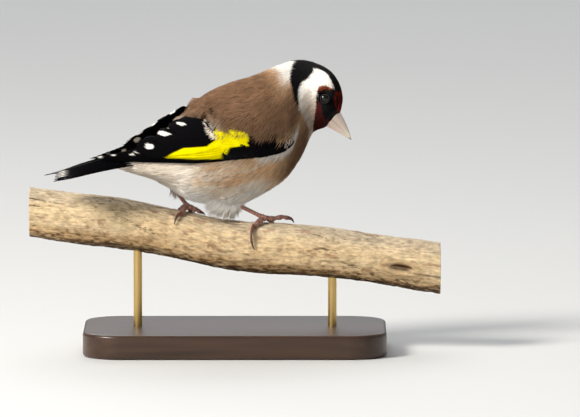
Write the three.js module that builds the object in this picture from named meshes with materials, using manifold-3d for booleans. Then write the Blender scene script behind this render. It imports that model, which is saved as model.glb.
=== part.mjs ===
// A European goldfinch at life size, standing on a short cut length of dry branch that two rods
// hold over a flat base. Millimetres, +Z up, with the origin under the middle of the base.
// The bird is drawn in a frame of its own: x forward, y to its left, z up, with the middle of
// its body at the origin. Its head is drawn looking straight ahead and is then turned at the neck.
import * as THREE from "three";
import { mergeVertices } from "three/addons/utils/BufferGeometryUtils.js";
import Module from "manifold-3d";

const wasm = await Module();
wasm.setup();

const GAP = 0.3; // left between pieces that touch
const CUT = 0.36; // how far a body is grown before another piece is cut back from it
const rad = THREE.MathUtils.degToRad;
const V = (x, y, z) => new THREE.Vector3(x, y, z);

// colours and finishes
const finish = (color, roughness, metalness = 0) =>
  new THREE.MeshStandardMaterial({ color, roughness, metalness });
const FINISH = {
  brown: finish(0x7a5c46, 0.9),
  cheek: finish(0xd8d0c6, 0.9),
  black: finish(0x17151a, 0.6),
  bone: finish(0xe6d5cb, 0.45),
  eye: finish(0x120d0c, 0.08),
  down: finish(0xd9d2c8, 0.95),
  skin: finish(0x8f5b4e, 0.6),
  claw: finish(0x45302a, 0.4),
  wood: finish(0xb79a6c, 0.85),
  stained: finish(0x3a271b, 0.5),
  brass: finish(0xa98b4f, 0.35, 1),
};

// where things stand
const BASE = { length: 112, width: 64, height: 9, corner: 14, bevel: 1.2 };
const ROD = { radius: 1.6, at: [-36, 36], socket: 5 };
const PERCH = {
  from: -76, to: 76, // its cut ends
  radius: 9.2,
  height: 40.9, // of its middle above the floor
  slope: -0.1364,
  knot: { x: 61.5, angle: 97, length: 5.2, width: 2.0, depth: 1.7 },
};
const BIRD = { at: [-3.7, 0, 74.4], yaw: 18, roll: 8 };
const NECK = { x: 24, turn: -25 }; // the head turns right about this upright line

// helpers for curves and solids
// A smooth curve through points [x, value, ...]: cubic pieces whose slopes come from the neighbours.
function through(points, x, column = 1) {
  const last = points.length - 1;
  let i = 0;
  while (i < last - 1 && x > points[i + 1][0]) i++;
  const at = (k) => points[Math.min(Math.max(k, 0), last)];
  const slope = (k) => {
    const a = at(k - 1), b = at(k + 1);
    return (b[column] - a[column]) / (b[0] - a[0]);
  };
  const a = points[i], b = points[i + 1], d = b[0] - a[0];
  const t = Math.min(Math.max((x - a[0]) / d, 0), 1);
  const h = t * t * (3 - 2 * t);
  const ends = a[column] + (b[column] - a[column]) * h;
  return ends + d * t * (1 - t) * (slope(i) * (1 - t) - slope(i + 1) * t);
}
const mix = (a, b, t) => a + (b - a) * t;
const mixPoint = (a, b, t) => a.map((v, k) => mix(v, b[k], t));
const step = (a, b, x) => THREE.MathUtils.smoothstep(x, a, b);
const bell = (x, middle, width) => Math.exp(-(((x - middle) / width) ** 2));

function geometryOf(points, faces) {
  const g = new THREE.BufferGeometry().setFromPoints(points);
  g.setIndex(faces.flat());
  return g;
}
function solidOf(geometry, near = 1e-4) {
  const bare = new THREE.BufferGeometry().setAttribute("position", geometry.getAttribute("position"));
  bare.setIndex(geometry.index);
  const merged = mergeVertices(bare, near);
  const triVerts = new Uint32Array(merged.index.array);
  const made = new wasm.Manifold(
    new wasm.Mesh({ numProp: 3, vertProperties: merged.attributes.position.array, triVerts }),
  );
  if (made.volume() > 0) return made;
  const turned = triVerts.map((_, i) => triVerts[i - (i % 3) + [0, 2, 1][i % 3]]);
  return new wasm.Manifold(
    new wasm.Mesh({ numProp: 3, vertProperties: merged.attributes.position.array, triVerts: turned }),
  );
}
const join = (solids) => solids.reduce((a, b) => a.add(b));
const largest = (solid) => solid.decompose().sort((a, b) => b.volume() - a.volume())[0];
function geometryFrom(solid) {
  const { vertProperties, triVerts, numProp } = solid.getMesh();
  const corners = new Float32Array(triVerts.length * 3);
  triVerts.forEach((v, i) => {
    corners.set(vertProperties.subarray(v * numProp, v * numProp + 3), i * 3);
  });
  const g = new THREE.BufferGeometry();
  return g.setAttribute("position", new THREE.BufferAttribute(corners, 3));
}
// The named mesh of a solid's largest closed surface; crumbs and pockets left by the cuts go.
function meshOf(name, solid, material) {
  const whole = largest(solidOf(geometryFrom(largest(solid)), 2e-3));
  const g = geometryFrom(whole);
  g.computeVertexNormals();
  const mesh = new THREE.Mesh(g, material);
  mesh.name = name;
  return mesh;
}
// A closed solid through rings of points, each ring with as many points, its two ends filled.
function ringSolid(rings) {
  const n = rings[0].length;
  const points = rings.flat();
  const faces = [];
  for (let i = 0; i + 1 < rings.length; i++)
    for (let j = 0; j < n; j++) {
      const a = i * n + j, b = i * n + ((j + 1) % n), c = a + n, d = b + n;
      faces.push([a, b, d], [a, d, c]);
    }
  for (const [first, flip] of [[0, false], [(rings.length - 1) * n, true]]) {
    const ring = points.slice(first, first + n);
    points.push(ring.reduce((s, p) => s.add(p), V(0, 0, 0)).divideScalar(n));
    const middle = points.length - 1;
    for (let j = 0; j < n; j++) {
      const a = first + j, b = first + ((j + 1) % n);
      faces.push(flip ? [a, b, middle] : [b, a, middle]);
    }
  }
  return solidOf(geometryOf(points, faces));
}
// A round tube along a list of points, with a radius for each share of its length.
function tubeSolid(path, radius, sides = 7, steps = 8, flat = 1) {
  const line = new THREE.CatmullRomCurve3(path, false, "centripetal");
  const frames = line.computeFrenetFrames(steps, false);
  const rings = Array.from({ length: steps + 1 }, (_, i) => {
    const t = i / steps, r = radius(t), middle = line.getPointAt(t);
    return Array.from({ length: sides }, (_, j) => {
      const a = (2 * Math.PI * j) / sides;
      return middle.clone()
        .addScaledVector(frames.normals[i], r * Math.cos(a) * flat)
        .addScaledVector(frames.binormals[i], r * Math.sin(a));
    });
  });
  return ringSolid(rings);
}
const ballSolid = (middle, radius, stretch = V(1, 1, 1), around = 12) => {
  const g = new THREE.SphereGeometry(radius, around, Math.round(around * 0.6));
  g.scale(stretch.x, stretch.y, stretch.z).translate(middle.x, middle.y, middle.z);
  return solidOf(g);
};
// A thin vane on a grid: side(u, v) gives a point and the way out; both faces share one pattern.
function vaneSolid(side, thickness, steps = 5, across = 2) {
  const points = [], faces = [];
  const row = across + 1, sheet = (steps + 1) * row;
  for (const face of [0.5, -0.5])
    for (let i = 0; i <= steps; i++)
      for (let j = 0; j <= across; j++) {
        const { point, out } = side(i / steps, (2 * j) / across - 1);
        points.push(point.clone().addScaledVector(out, face * thickness(i / steps)));
      }
  for (let i = 0; i < steps; i++)
    for (let j = 0; j < across; j++) {
      const a = i * row + j, b = a + 1, c = a + row, d = c + 1;
      faces.push([a, c, d], [a, d, b]);
      faces.push([a + sheet, d + sheet, c + sheet], [a + sheet, b + sheet, d + sheet]);
    }
  const rim = [
    ...Array.from({ length: across }, (_, j) => j),
    ...Array.from({ length: steps }, (_, i) => i * row + across),
    ...Array.from({ length: across }, (_, j) => steps * row + across - j),
    ...Array.from({ length: steps }, (_, i) => (steps - i) * row),
  ];
  rim.forEach((a, k) => {
    const b = rim[(k + 1) % rim.length];
    faces.push([a, b, b + sheet], [a, b + sheet, a + sheet]);
  });
  return solidOf(geometryOf(points, faces));
}

// the body, one skin from under the tail to the face
// Each station is a flat section of the plumage: its top and bottom point in the bird's middle
// plane, its half width, and its share of the head's turn.
const STATIONS = [
  { top: [-45.4, -2.7], bottom: [-43.2, -4.9], half: 1.9, turn: 0 }, // tip of the tail coverts
  { top: [-38.9, -1.0], bottom: [-36.6, -7.2], half: 5.0, turn: 0 },
  { top: [-31.3, 2.6], bottom: [-28.8, -9.6], half: 8.4, turn: 0 }, // rump and vent
  { top: [-23.7, 7.2], bottom: [-22.8, -12.4], half: 11.0, turn: 0 },
  { top: [-17.3, 11.8], bottom: [-18.2, -15.6], half: 13.2, turn: 0 },
  { top: [-12.2, 17.2], bottom: [-13.4, -18.2], half: 14.8, turn: 0 },
  { top: [-6.8, 21.6], bottom: [-6.9, -19.6], half: 15.6, turn: 0 }, // back and belly
  { top: [-0.3, 24.4], bottom: [0.9, -19.8], half: 15.8, turn: 0 },
  { top: [5.8, 26.3], bottom: [9.4, -18.5], half: 15.6, turn: 0 },
  { top: [11.4, 27.9], bottom: [17.0, -15.3], half: 14.9, turn: 0 },
  { top: [16.4, 29.8], bottom: [22.9, -11.2], half: 13.9, turn: 0 }, // mantle and breast
  { top: [21.4, 31.9], bottom: [27.6, -5.2], half: 12.6, turn: 0.08 },
  { top: [27.2, 33.3], bottom: [30.5, 0.2], half: 11.2, turn: 0.36 }, // neck
  { top: [32.9, 32.7], bottom: [32.3, 4.3], half: 10.0, turn: 0.72 },
  { top: [38.8, 30.2], bottom: [33.9, 7.1], half: 9.2, turn: 1 }, // crown and throat
  { top: [42.3, 25.7], bottom: [36.0, 8.4], half: 8.1, turn: 1 },
  { top: [43.9, 20.3], bottom: [37.8, 9.0], half: 6.1, turn: 1 }, // forehead and chin
  { top: [43.4, 14.9], bottom: [38.9, 9.5], half: 3.1, turn: 1 }, // face, behind the bill
];
const COLUMNS = STATIONS.map(({ top, bottom, half, turn }, i) => [i, ...top, ...bottom, half, turn]);
const SCAPULARS = { lift: 1.7, from: 5.2, to: 11.6 }; // shoulder feathers that cover the wing's front
const SIDES = 26;

const turned = (point, share) => {
  const a = rad(NECK.turn * share), x = point.x - NECK.x;
  const { y } = point;
  return V(NECK.x + x * Math.cos(a) - y * Math.sin(a), x * Math.sin(a) + y * Math.cos(a), point.z);
};
// The point of the plumage at a station and an angle: 0 on top, 90 on the bird's right, 180 below.
function plumage(station, angle, grow = 0) {
  const [tx, tz, bx, bz, half, turn] = [1, 2, 3, 4, 5, 6].map((c) => through(COLUMNS, station, c));
  const c = Math.cos(rad(angle)), s = Math.sin(rad(angle));
  const height = Math.hypot(tx - bx, tz - bz) / 2;
  const up = V((tx - bx) / (2 * height), 0, (tz - bz) / (2 * height));
  const fullBelow = 1 - 0.06 * c;
  const shoulder = step(SCAPULARS.from, SCAPULARS.from + 1.6, station)
    * (1 - step(SCAPULARS.to - 1.6, SCAPULARS.to, station)) * bell(Math.abs(c), 0.62, 0.36) * (c > 0 ? 1 : 0);
  const out = half * fullBelow + grow + SCAPULARS.lift * shoulder;
  const middle = V((tx + bx) / 2, 0, (tz + bz) / 2);
  const point = middle.addScaledVector(up, (height + grow) * c).add(V(0, -out * s, 0));
  return turned(point, turn);
}
const PART = 0.15; // the thin cuts between head, neck and torso, in stations
const span = (from, to, rings) => Array.from({ length: rings + 1 }, (_, i) => mix(from, to, i / rings));
const ALONG = {
  torso: span(0, 11.25, 20),
  neck: span(11.25 + PART * 0.6, 12.75, 3),
  head: span(12.75 + PART, 17, 12),
};
const centre = (ring) => ring.reduce((s, p) => s.add(p), V(0, 0, 0)).divideScalar(ring.length);
function bodySolid(stations, grow = 0) {
  const rings = stations.map((station) =>
    Array.from({ length: SIDES }, (_, j) => plumage(station, (360 * (j + 0.5)) / SIDES, grow)));
  const middles = rings.map(centre), last = rings.length - 1;
  for (const [end, next] of [[0, 1], [last, last - 1]]) {
    const push = middles[end].clone().sub(middles[next]).setLength(grow);
    rings[end].forEach((p) => p.add(push));
  }
  return ringSolid(rings);
}
const grownBody = bodySolid([...ALONG.torso, ...ALONG.neck, ...ALONG.head], CUT);
const torsoSolid = bodySolid(ALONG.torso);
const neckSolid = bodySolid(ALONG.neck);

// head: eyes with their lids, and the bill
const EYE = { x: 38.4, z: 21.7, radius: 1.9, sink: 1.1, lid: 0.36 };
const headPoint = (x, y, z) => turned(V(x, y, z), 1);
// Where the eye sits on the face, and the way it looks: between straight out and the way the
// face slopes there.
function eyeSeat(side) {
  let best = { off: Infinity };
  for (let station = 13; station <= 16; station += 0.05)
    for (let angle = 30; angle <= 120; angle += 2) {
      const q = turned(plumage(station, angle), -1); // back to looking straight ahead
      const off = Math.hypot(q.x - EYE.x, q.z - EYE.z);
      if (off < best.off) best = { off, station, angle: side < 0 ? angle : -angle };
    }
  const { station, angle } = best, point = plumage(station, angle);
  const along = plumage(station + 0.1, angle).sub(plumage(station - 0.1, angle));
  const round = plumage(station, angle + 2).sub(plumage(station, angle - 2));
  const slope = along.cross(round).normalize();
  const outward = headPoint(0, side, 0).sub(headPoint(0, 0, 0));
  if (slope.dot(outward) < 0) slope.negate();
  const axis = slope.clone().add(outward).normalize();
  return { middle: point.clone().addScaledVector(slope, -EYE.sink), axis };
}
const EYES = { right: eyeSeat(-1), left: eyeSeat(1) };
function lidSolid({ middle, axis }) {
  const ring = new THREE.TorusGeometry(EYE.radius * 0.92, EYE.lid, 6, 16);
  ring.applyQuaternion(new THREE.Quaternion().setFromUnitVectors(V(0, 0, 1), axis));
  const at = middle.clone().addScaledVector(axis, EYE.radius * 0.7);
  return solidOf(ring.translate(at.x, at.y, at.z));
}
const BILL = {
  tip: [47.9, 4.7],
  root: [39.9, 13.2], // the middle of its hidden root, inside the face
  culmen: 3.7, // above the mouth line at the root
  gonys: 4.0,
  half: 2.95,
};
// One half of the bill: side +1 is the upper, -1 the lower. Its flat faces the mouth line.
function mandibleSolid(side) {
  const along = new THREE.Vector2(BILL.tip[0] - BILL.root[0], BILL.tip[1] - BILL.root[1]);
  const length = along.length() - (side < 0 ? 0.55 : 0);
  along.normalize();
  const up = new THREE.Vector2(-along.y, along.x);
  const steps = 9, arc = 8;
  const rings = Array.from({ length: steps + 1 }, (_, i) => {
    const t = (i / steps) ** 0.85;
    const taper = side > 0 ? (1 - t) ** 0.86 : (1 - t) ** 0.92;
    const high = 0.14 + (side > 0 ? BILL.culmen : BILL.gonys) * taper;
    const wide = 0.12 + BILL.half * (1 - t) ** 0.95 * (side > 0 ? 1 : 0.97);
    const mouth = 0.3 * Math.sin(Math.PI * t) + side * GAP * 0.5;
    const x = BILL.root[0] + along.x * length * t, z = BILL.root[1] + along.y * length * t;
    return Array.from({ length: arc + 1 }, (_, j) => {
      const a = (Math.PI * j) / arc;
      const h = mouth + side * high * Math.sin(a);
      return headPoint(x + up.x * h, wide * Math.cos(a), z + up.y * h);
    });
  });
  return ringSolid(rings);
}
const NOSTRIL = { x: 43.4, y: 2.0, z: 12.2, radius: 0.34 };
const bill = { upper: mandibleSolid(1), lower: mandibleSolid(-1) };
for (const side of [-1, 1])
  bill.upper = bill.upper.subtract(
    ballSolid(headPoint(NOSTRIL.x, side * NOSTRIL.y, NOSTRIL.z), NOSTRIL.radius, undefined, 8));
let headSolid = join([bodySolid(ALONG.head), ...Object.values(EYES).map(lidSolid)]);
for (const { middle } of Object.values(EYES)) {
  headSolid = headSolid.subtract(ballSolid(middle, EYE.radius + GAP));
}
// Bristles over the nostrils, one small tuft on each side of the upper bill's root, each with the
// nostril as a small pit below its end.
const bristles = (side, grow) => tubeSolid(
  [headPoint(40.6, side * 2.3, 17.2), headPoint(42.6, side * 2.0, 15.6),
    headPoint(44.3 + grow, side * 1.3, 13.3 - grow)],
  (t) => mix(1.15, 0.3, t) + grow * 1.15, 6, 4);
for (const side of [-1, 1]) headSolid = headSolid.add(bristles(side, 0));
const face = join([grownBody, bristles(-1, GAP), bristles(1, GAP)]);

// wings
// Seen from the side, the folded wing lies between two edges. How far out it stands comes from
// the width of the whole folded bird there, rounded over its back like a worn box.
const FOLDED = [ // [x, half width, lower edge, top of the back]
  [-55, 1.4, -1.2, 0.4], [-50, 2.4, -1.2, 1.2], [-44, 4.2, -0.9, 2.6], [-38, 5.8, -0.5, 4.4],
  [-31, 8.8, 0.0, 7.6], [-23, 12.1, 0.3, 11.4], [-15, 15.2, 0.4, 15.4], [-6, 16.8, 0.6, 22.0],
  [4, 17.1, 1.0, 25.8], [12, 16.5, 1.6, 28.0], [17, 15.6, 2.8, 29.5], [20, 14.8, 4.4, 31.0],
  [25, 13.2, 8.6, 32.0],
];
function folded(x, z) {
  const [half, low, top] = [1, 2, 3].map((c) => through(FOLDED, x, c));
  const share = Math.min(Math.abs((z - low) / (top - low)), 0.985);
  const power = mix(3.1, 2.4, step(-24, -4, x));
  return half * (1 - share ** power) ** (1 / power);
}
const SETTLE = 1.1; // the left wing's feathers lie this much lower than the right's
// A point of the folded wing with the way out, mirrored for the left wing.
function onWing(x, z, lift, side) {
  const e = 0.4;
  const dx = (folded(x + e, z) - folded(x - e, z)) / (2 * e);
  const dz = (folded(x, z + e) - folded(x, z - e)) / (2 * e);
  const out = V(-dx, side, -dz).normalize();
  const lower = side > 0 ? SETTLE * (1 - step(-34, -2, x)) : 0;
  return { point: V(x, side * folded(x, z), z - lower).addScaledVector(out, lift), out };
}
const WING_TOP = [ // the upper edge, where the shoulder feathers end and then along the tertials
  [-37, 4.0], [-31, 7.0], [-23, 10.8], [-17.5, 14.0], [-15, 15.2], [-11, 14.2], [-6, 11.8],
  [3, 9.6], [9, 8.8], [14, 9.8], [20, 12.2], [24, 13.8],
];
const WING = { from: 23.6, to: -36, thick: 2.4, thin: 0.8 };
function wingPlate(side) {
  const steps = 12, across = 3;
  const points = (u, v) => {
    const x = mix(WING.from, WING.to, u);
    const low = through(FOLDED, x, 2) - 0.3, top = through(WING_TOP, x);
    return onWing(x, mix(low, top, (v + 1) / 2), -0.3 - mix(WING.thick, WING.thin, u) / 2, side);
  };
  return vaneSolid(points, (u) => mix(WING.thick, WING.thin, u), steps, across);
}
// One feather: from a root to a tip in the side view, w its half width, lift how far out it lies,
// and tilt how much its lower edge stands over the next feather.
function quill({ root, tip, wide, lift, tilt = 0.3, thick = 0.6, blunt = 0.55, side }) {
  const dx = tip[0] - root[0], dz = tip[1] - root[1], length = Math.hypot(dx, dz);
  const across = [-dz / length, dx / length]; // towards the lower edge, as the wing points back
  const shape = (u) => wide * Math.sqrt(step(-0.25, 0.3, u)) * (1 - (1 - blunt) * step(0.72, 1, u));
  const at = (u, v) => {
    const w = shape(u) * v, rounded = u - 0.06 * v * v * step(0.5, 1, u);
    const x = root[0] + dx * rounded + across[0] * w, z = root[1] + dz * rounded + across[1] * w;
    return onWing(x, z, lift * (0.4 + 0.6 * step(0, 0.3, u)) + tilt * v, side);
  };
  return vaneSolid(at, (u) => mix(thick, thick * 0.72, u), 4, 2);
}
// The tiers from the innermost out: how many feathers, their first and last root and tip, their
// half width, and how far out they lie.
const TIERS = {
  primaries: {
    count: 6, roots: [[-3, 1.6], [-6, 3.4]], tips: [[-51.8, -0.8], [-40.0, 1.8]],
    wide: 1.7, lift: -0.1,
  },
  secondaries: {
    count: 4, roots: [[-5, 4.2], [-6, 7.0]], tips: [[-38.4, 2.2], [-35.6, 4.4]],
    wide: 2.1, lift: 0.25,
  },
  tertials: {
    count: 3, roots: [[-7, 8.2], [-9, 12.8]], tips: [[-34.6, 4.4], [-21.6, 12.6]],
    wide: 3.0, lift: 0.6,
  },
  pinion: {
    count: 3, roots: [[12, 3.0], [10, 5.4]], tips: [[-5.4, 1.8], [-3.2, 5.0]],
    wide: 1.4, lift: 0.35,
  },
  coverts: {
    count: 5, roots: [[1, 4.2], [-5, 12.8]], tips: [[-7.6, 4.2], [-13.0, 12.8]],
    wide: 1.9, lift: 0.8,
  },
  lesser: { count: 4, roots: [[19, 6.2], [5, 9.4]], tips: [[9.4, 4.0], [-2.4, 9.6]], wide: 2.2, lift: 1.1 },
};
function wingSolid(side) {
  const row = ({ count, roots, tips, wide, lift }) =>
    Array.from({ length: count }, (_, k) => {
      const t = k / (count - 1);
      return quill({ root: mixPoint(...roots, t), tip: mixPoint(...tips, t), wide, lift, side });
    });
  return join([wingPlate(side), ...Object.values(TIERS).flatMap(row)]).subtract(grownBody);
}
const wings = { right: wingSolid(-1), left: wingSolid(1) };

// tail: twelve feathers in two tiers that slope down from the middle pair
const TAIL = {
  root: [-24, 2.2], tip: [-65, -7.0], arch: 1.0, // the middle pair
  fork: 2.6, // how much longer the outermost are
  pairs: 6,
  lean: 0.6, twist: 0.05, // towards the left, and the left edge down, at the tip
  gather: 1.6, spread: 5.6, // how far out the outermost lie, at the root and at the tip
  drop: [4.2, 1.2], // how far below the middle pair they lie, at the root and at the tip
  wide: 2.0,
};
function tailFeather(side, k) { // k is 0 for the middle pair
  const share = k / (TAIL.pairs - 1);
  const dx = TAIL.tip[0] - TAIL.root[0], dz = TAIL.tip[1] - TAIL.root[1], length = Math.hypot(dx, dz);
  const along = V(dx / length, 0, dz / length), down = V(along.z, 0, -along.x).negate();
  const reach = length + TAIL.fork * share ** 1.2;
  const at = (u, v) => {
    const w = TAIL.wide * Math.sqrt(step(-0.3, 0.35, u)) * (1 - 0.5 * step(0.8, 1, u)) * v;
    const y = side * (0.5 + mix(TAIL.gather, TAIL.spread, u) * share + w) + TAIL.lean * u;
    const slope = mix(...TAIL.drop, u) * (share + v * 0.16);
    const drop = slope - TAIL.arch * Math.sin(Math.PI * u) + TAIL.twist * y * u;
    const rounded = u - 0.05 * v * v * step(0.5, 1, u);
    const point = V(TAIL.root[0], y, TAIL.root[1]).addScaledVector(along, reach * rounded);
    return { point: point.addScaledVector(down, drop), out: down };
  };
  return vaneSolid(at, (u) => mix(0.8, 0.5, u), 4, 2);
}
// A solid moved a little each way, to cut a gap all round it.
const around = (solid) => join(
  [[0, 0, 0], [0, 0, -1], [0, 1, 0], [0, -1, 0], [-1, 0, 0], [1, 0, 0], [0, 0.7, -0.7], [0, -0.7, -0.7]]
    .map((way) => solid.translate(way.map((v) => v * GAP))));
const tailPairs = span(0, TAIL.pairs - 1, TAIL.pairs - 1);
const tailSolid = join([-1, 1].flatMap((side) => tailPairs.map((k) => tailFeather(side, k))))
  .subtract(grownBody).subtract(around(wings.right)).subtract(around(wings.left));

// the perch, bent a little as the branch is, with its knot
const perchMiddle = (x) => PERCH.height + PERCH.slope * x - 1.9 * bell(x, -1, 20) + 0.6 * bell(x, -43, 12);
const perchRadius = (x, angle) =>
  PERCH.radius + 0.22 * Math.sin(x / 11) + 0.35 * bell(x, 66, 9)
  + 0.16 * Math.sin(3 * rad(angle) + x / 23) + 0.1 * Math.sin(5 * rad(angle) - x / 9);
// A point on the perch: angle 0 on top, positive towards the viewer's side, and a height above it.
function onPerch(x, angle, height = 0) {
  const r = perchRadius(x, angle) + height;
  return V(x, -r * Math.sin(rad(angle)), perchMiddle(x) + r * Math.cos(rad(angle)));
}
function perchSolid() {
  const steps = 26, sides = 15;
  const ring = (x) => Array.from({ length: sides }, (_, j) => onPerch(x, (360 * j) / sides));
  const places = Array.from({ length: steps + 1 }, (_, i) => mix(PERCH.from, PERCH.to, i / steps));
  let solid = ringSolid(places.map(ring));
  const { x, angle, length, width, depth } = PERCH.knot;
  solid = solid.subtract(ballSolid(onPerch(x, angle, 0.5), 1, V(length, depth + 0.5, width)));
  for (const at of ROD.at) {
    const low = perchMiddle(at) - PERCH.radius - 2;
    const hole = new THREE.CylinderGeometry(ROD.radius + GAP, ROD.radius + GAP, ROD.socket + 2 + GAP, 16);
    hole.rotateX(Math.PI / 2).translate(at, 0, low + (ROD.socket + 2 + GAP) / 2);
    solid = solid.subtract(solidOf(hole));
  }
  return solid;
}

// legs: shank, toes and claws, in the frame of the perch
const bird = new THREE.Group();
bird.position.set(...BIRD.at);
bird.rotation.set(rad(BIRD.roll), 0, rad(BIRD.yaw), "ZYX");
bird.updateMatrixWorld(true);
const toWorld = (x, y, z) => V(x, y, z).applyMatrix4(bird.matrixWorld);
const placed = (solid) => solid.transform([...bird.matrixWorld.elements]);
const drawn = (solid) => solid.transform([...bird.matrixWorld.clone().invert().elements]);
const LEGS = {
  right: {
    heel: [-0.6, -6.5, -17.2], // in the bird's frame
    foot: { x: 10.8, angle: 12, height: 2.1 }, // on the perch
    toes: {
      hallux: [[8.8, 26, 1.5], [7.0, 38, 1.1]],
      inner: [[14.4, 4, 1.7], [17.2, -2, 2.3], [19.4, -8, 2.1]],
      middle: [[12.6, -14, 1.5], [13.8, -40, 1.35], [14.6, -62, 1.05]],
      outer: [[9.6, -16, 1.4], [8.4, -38, 1.3], [7.6, -56, 1.05]],
    },
    claws: {
      hallux: [[6.0, 58, 1.6], [6.3, 76, 1.3], [7.3, 91, 0.4]],
      inner: [[21.0, -11, 1.7], [21.9, -14, 0.4]],
      middle: [[15.2, -78, 1.2], [15.6, -90, 0.4]],
      outer: [[7.2, -72, 1.2], [7.0, -84, 0.4]],
    },
    mound: { at: [0.6, -7.4, -16.0], size: [6.4, 3.6, 4.2] },
    locks: [
      [-8.6, -22.0], [-7.2, -23.4], [-5.0, -22.8], [-3.0, -24.4], [-1.0, -24.0],
      [1.0, -24.8], [3.0, -24.0], [4.6, -22.2], [5.6, -20.2],
    ],
  },
  left: {
    heel: [-15.7, 7.5, -17.0],
    foot: { x: -17.8, angle: 6, height: 2.6 },
    toes: {
      hallux: [[-19.0, 20, 1.6], [-19.8, 31, 1.1]],
      inner: [[-15.3, 5, 2.0], [-13.2, 1, 1.2]],
      middle: [[-16.6, -16, 1.5], [-15.6, -42, 1.3], [-15.0, -64, 1.05]],
      outer: [[-19.4, -18, 1.5], [-20.8, -40, 1.3], [-21.6, -58, 1.05]],
    },
    claws: {
      hallux: [[-21.2, 43, 1.3], [-22.0, 54, 1.0], [-22.3, 64, 0.4]],
      inner: [[-12.0, -2, 0.9], [-11.0, -5, 0.4]],
      middle: [[-14.6, -80, 1.2], [-14.4, -92, 0.4]],
      outer: [[-22.2, -74, 1.2], [-22.6, -86, 0.4]],
    },
    mound: { at: [-14.0, 7.2, -14.8], size: [4.4, 3.2, 3.0] },
    locks: [[-17.0, -19.6], [-15.4, -20.2], [-13.6, -20.6], [-12.0, -20.0]],
  },
};
const SHANK = { radius: 0.66, heel: 0.36, joint: 0.22 };
const PAD = 1.15;
const TOE = { root: 0.84, end: 0.66, swell: 0.09, joints: 3 };
const CLAW = { root: 0.56, tip: 0.13, hallux: 1.15 };
function shankSolid(leg, grow = 0) {
  const foot = onPerch(leg.foot.x, leg.foot.angle, leg.foot.height), heel = toWorld(...leg.heel);
  const thick = (t) => SHANK.radius + grow + SHANK.heel * bell(t, 0, 0.12) + SHANK.joint * bell(t, 1, 0.14);
  const start = heel.clone().addScaledVector(heel.clone().sub(foot).normalize(), grow);
  return join([tubeSolid([start, start.clone().lerp(foot, 0.5), foot], thick, 7, 7),
    ballSolid(foot, PAD + grow, V(1.2, 1.1, 0.95))]);
}
function toeSolid(leg, toe, grow = 0) {
  const ankle = onPerch(leg.foot.x, leg.foot.angle, leg.foot.height);
  const path = [ankle, ...leg.toes[toe].map((p) => onPerch(...p))];
  const thick = (t) => mix(TOE.root, TOE.end, t) + TOE.swell * Math.cos(2 * Math.PI * TOE.joints * t) + grow;
  return tubeSolid(path, thick, 6, 7);
}
function clawSolid(leg, toe) {
  const [before, end] = leg.toes[toe].slice(-2).map((p) => onPerch(...p));
  const away = end.clone().sub(before).normalize();
  const path = [GAP + 0.1, GAP + 0.6].map((d) => end.clone().addScaledVector(away, d));
  path.push(...leg.claws[toe].map((p) => onPerch(...p)));
  const size = toe === "hallux" ? CLAW.hallux : 1;
  return tubeSolid(path, (t) => size * mix(CLAW.root, CLAW.tip, t ** 1.5), 6, 6);
}
function footPieces(name, leg) {
  const clear = shankSolid(leg, GAP);
  const pieces = { [`tarsus_${name}`]: shankSolid(leg).subtract(placed(grownBody)) };
  let taken = clear;
  for (const toe of ["middle", "hallux", "inner", "outer"]) {
    pieces[`toe_${name}_${toe}`] = toeSolid(leg, toe).subtract(taken);
    pieces[`claw_${name}_${toe}`] = clawSolid(leg, toe);
    taken = taken.add(toeSolid(leg, toe, GAP));
  }
  return pieces;
}
// The loose white feathers round the heel, on a mound low on the flank.
function thighSolid(name, leg) {
  const { at, size } = leg.mound;
  const mound = ballSolid(V(...at), 1, V(...size));
  const locks = leg.locks.map(([x, z], k) => {
    const share = k / (leg.locks.length - 1);
    const y = at[1] + Math.sign(at[1]) * (0.6 - 1.6 * Math.abs(share - 0.5));
    const root = V(at[0] + (share - 0.5) * size[0] * 1.1, at[1] + Math.sign(at[1]) * 0.8, at[2] - 1.0);
    const tip = V(x, y, z);
    const along = tip.clone().sub(root).normalize();
    const side = along.clone().cross(V(0, 1, 0)).normalize();
    const out = side.clone().cross(along).normalize();
    const sheet = (u, v) => ({
      point: root.clone().lerp(tip, u).addScaledVector(side, 1.35 * (1 - u * 0.75) * v)
        .addScaledVector(out, 0.5 * Math.sin(Math.PI * u) + (k % 2) * 0.35),
      out,
    });
    return vaneSolid(sheet, (u) => mix(1.1, 0.5, u), 3, 2);
  });
  return join([mound, ...locks]).subtract(grownBody).subtract(drawn(shankSolid(leg, GAP)));
}

// the stand
function baseSolid() {
  const { length, width, height, corner, bevel } = BASE;
  const outline = new THREE.Shape();
  const x = length / 2 - bevel, y = width / 2 - bevel, r = corner - bevel;
  outline.moveTo(-x + r, -y).lineTo(x - r, -y).absarc(x - r, -y + r, r, -Math.PI / 2, 0);
  outline.absarc(x - r, y - r, r, 0, Math.PI / 2).absarc(-x + r, y - r, r, Math.PI / 2, Math.PI);
  outline.absarc(-x + r, -y + r, r, Math.PI, 1.5 * Math.PI);
  const plate = new THREE.ExtrudeGeometry(outline, {
    depth: height - 2 * bevel, bevelThickness: bevel, bevelSize: bevel, bevelSegments: 1, curveSegments: 5,
  });
  plate.translate(0, 0, bevel);
  let solid = solidOf(plate);
  for (const at of ROD.at) {
    const hole = new THREE.CylinderGeometry(ROD.radius + GAP, ROD.radius + GAP, ROD.socket + 1, 16);
    hole.rotateX(Math.PI / 2).translate(at, 0, height - ROD.socket + (ROD.socket + 1) / 2);
    solid = solid.subtract(solidOf(hole));
  }
  return solid;
}
function rodSolid(at) {
  const low = BASE.height - ROD.socket + GAP;
  const top = perchMiddle(at) - PERCH.radius - 2 + ROD.socket + 2;
  const rod = new THREE.CylinderGeometry(ROD.radius, ROD.radius, top - low, 16);
  return solidOf(rod.rotateX(Math.PI / 2).translate(at, 0, (low + top) / 2));
}

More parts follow.
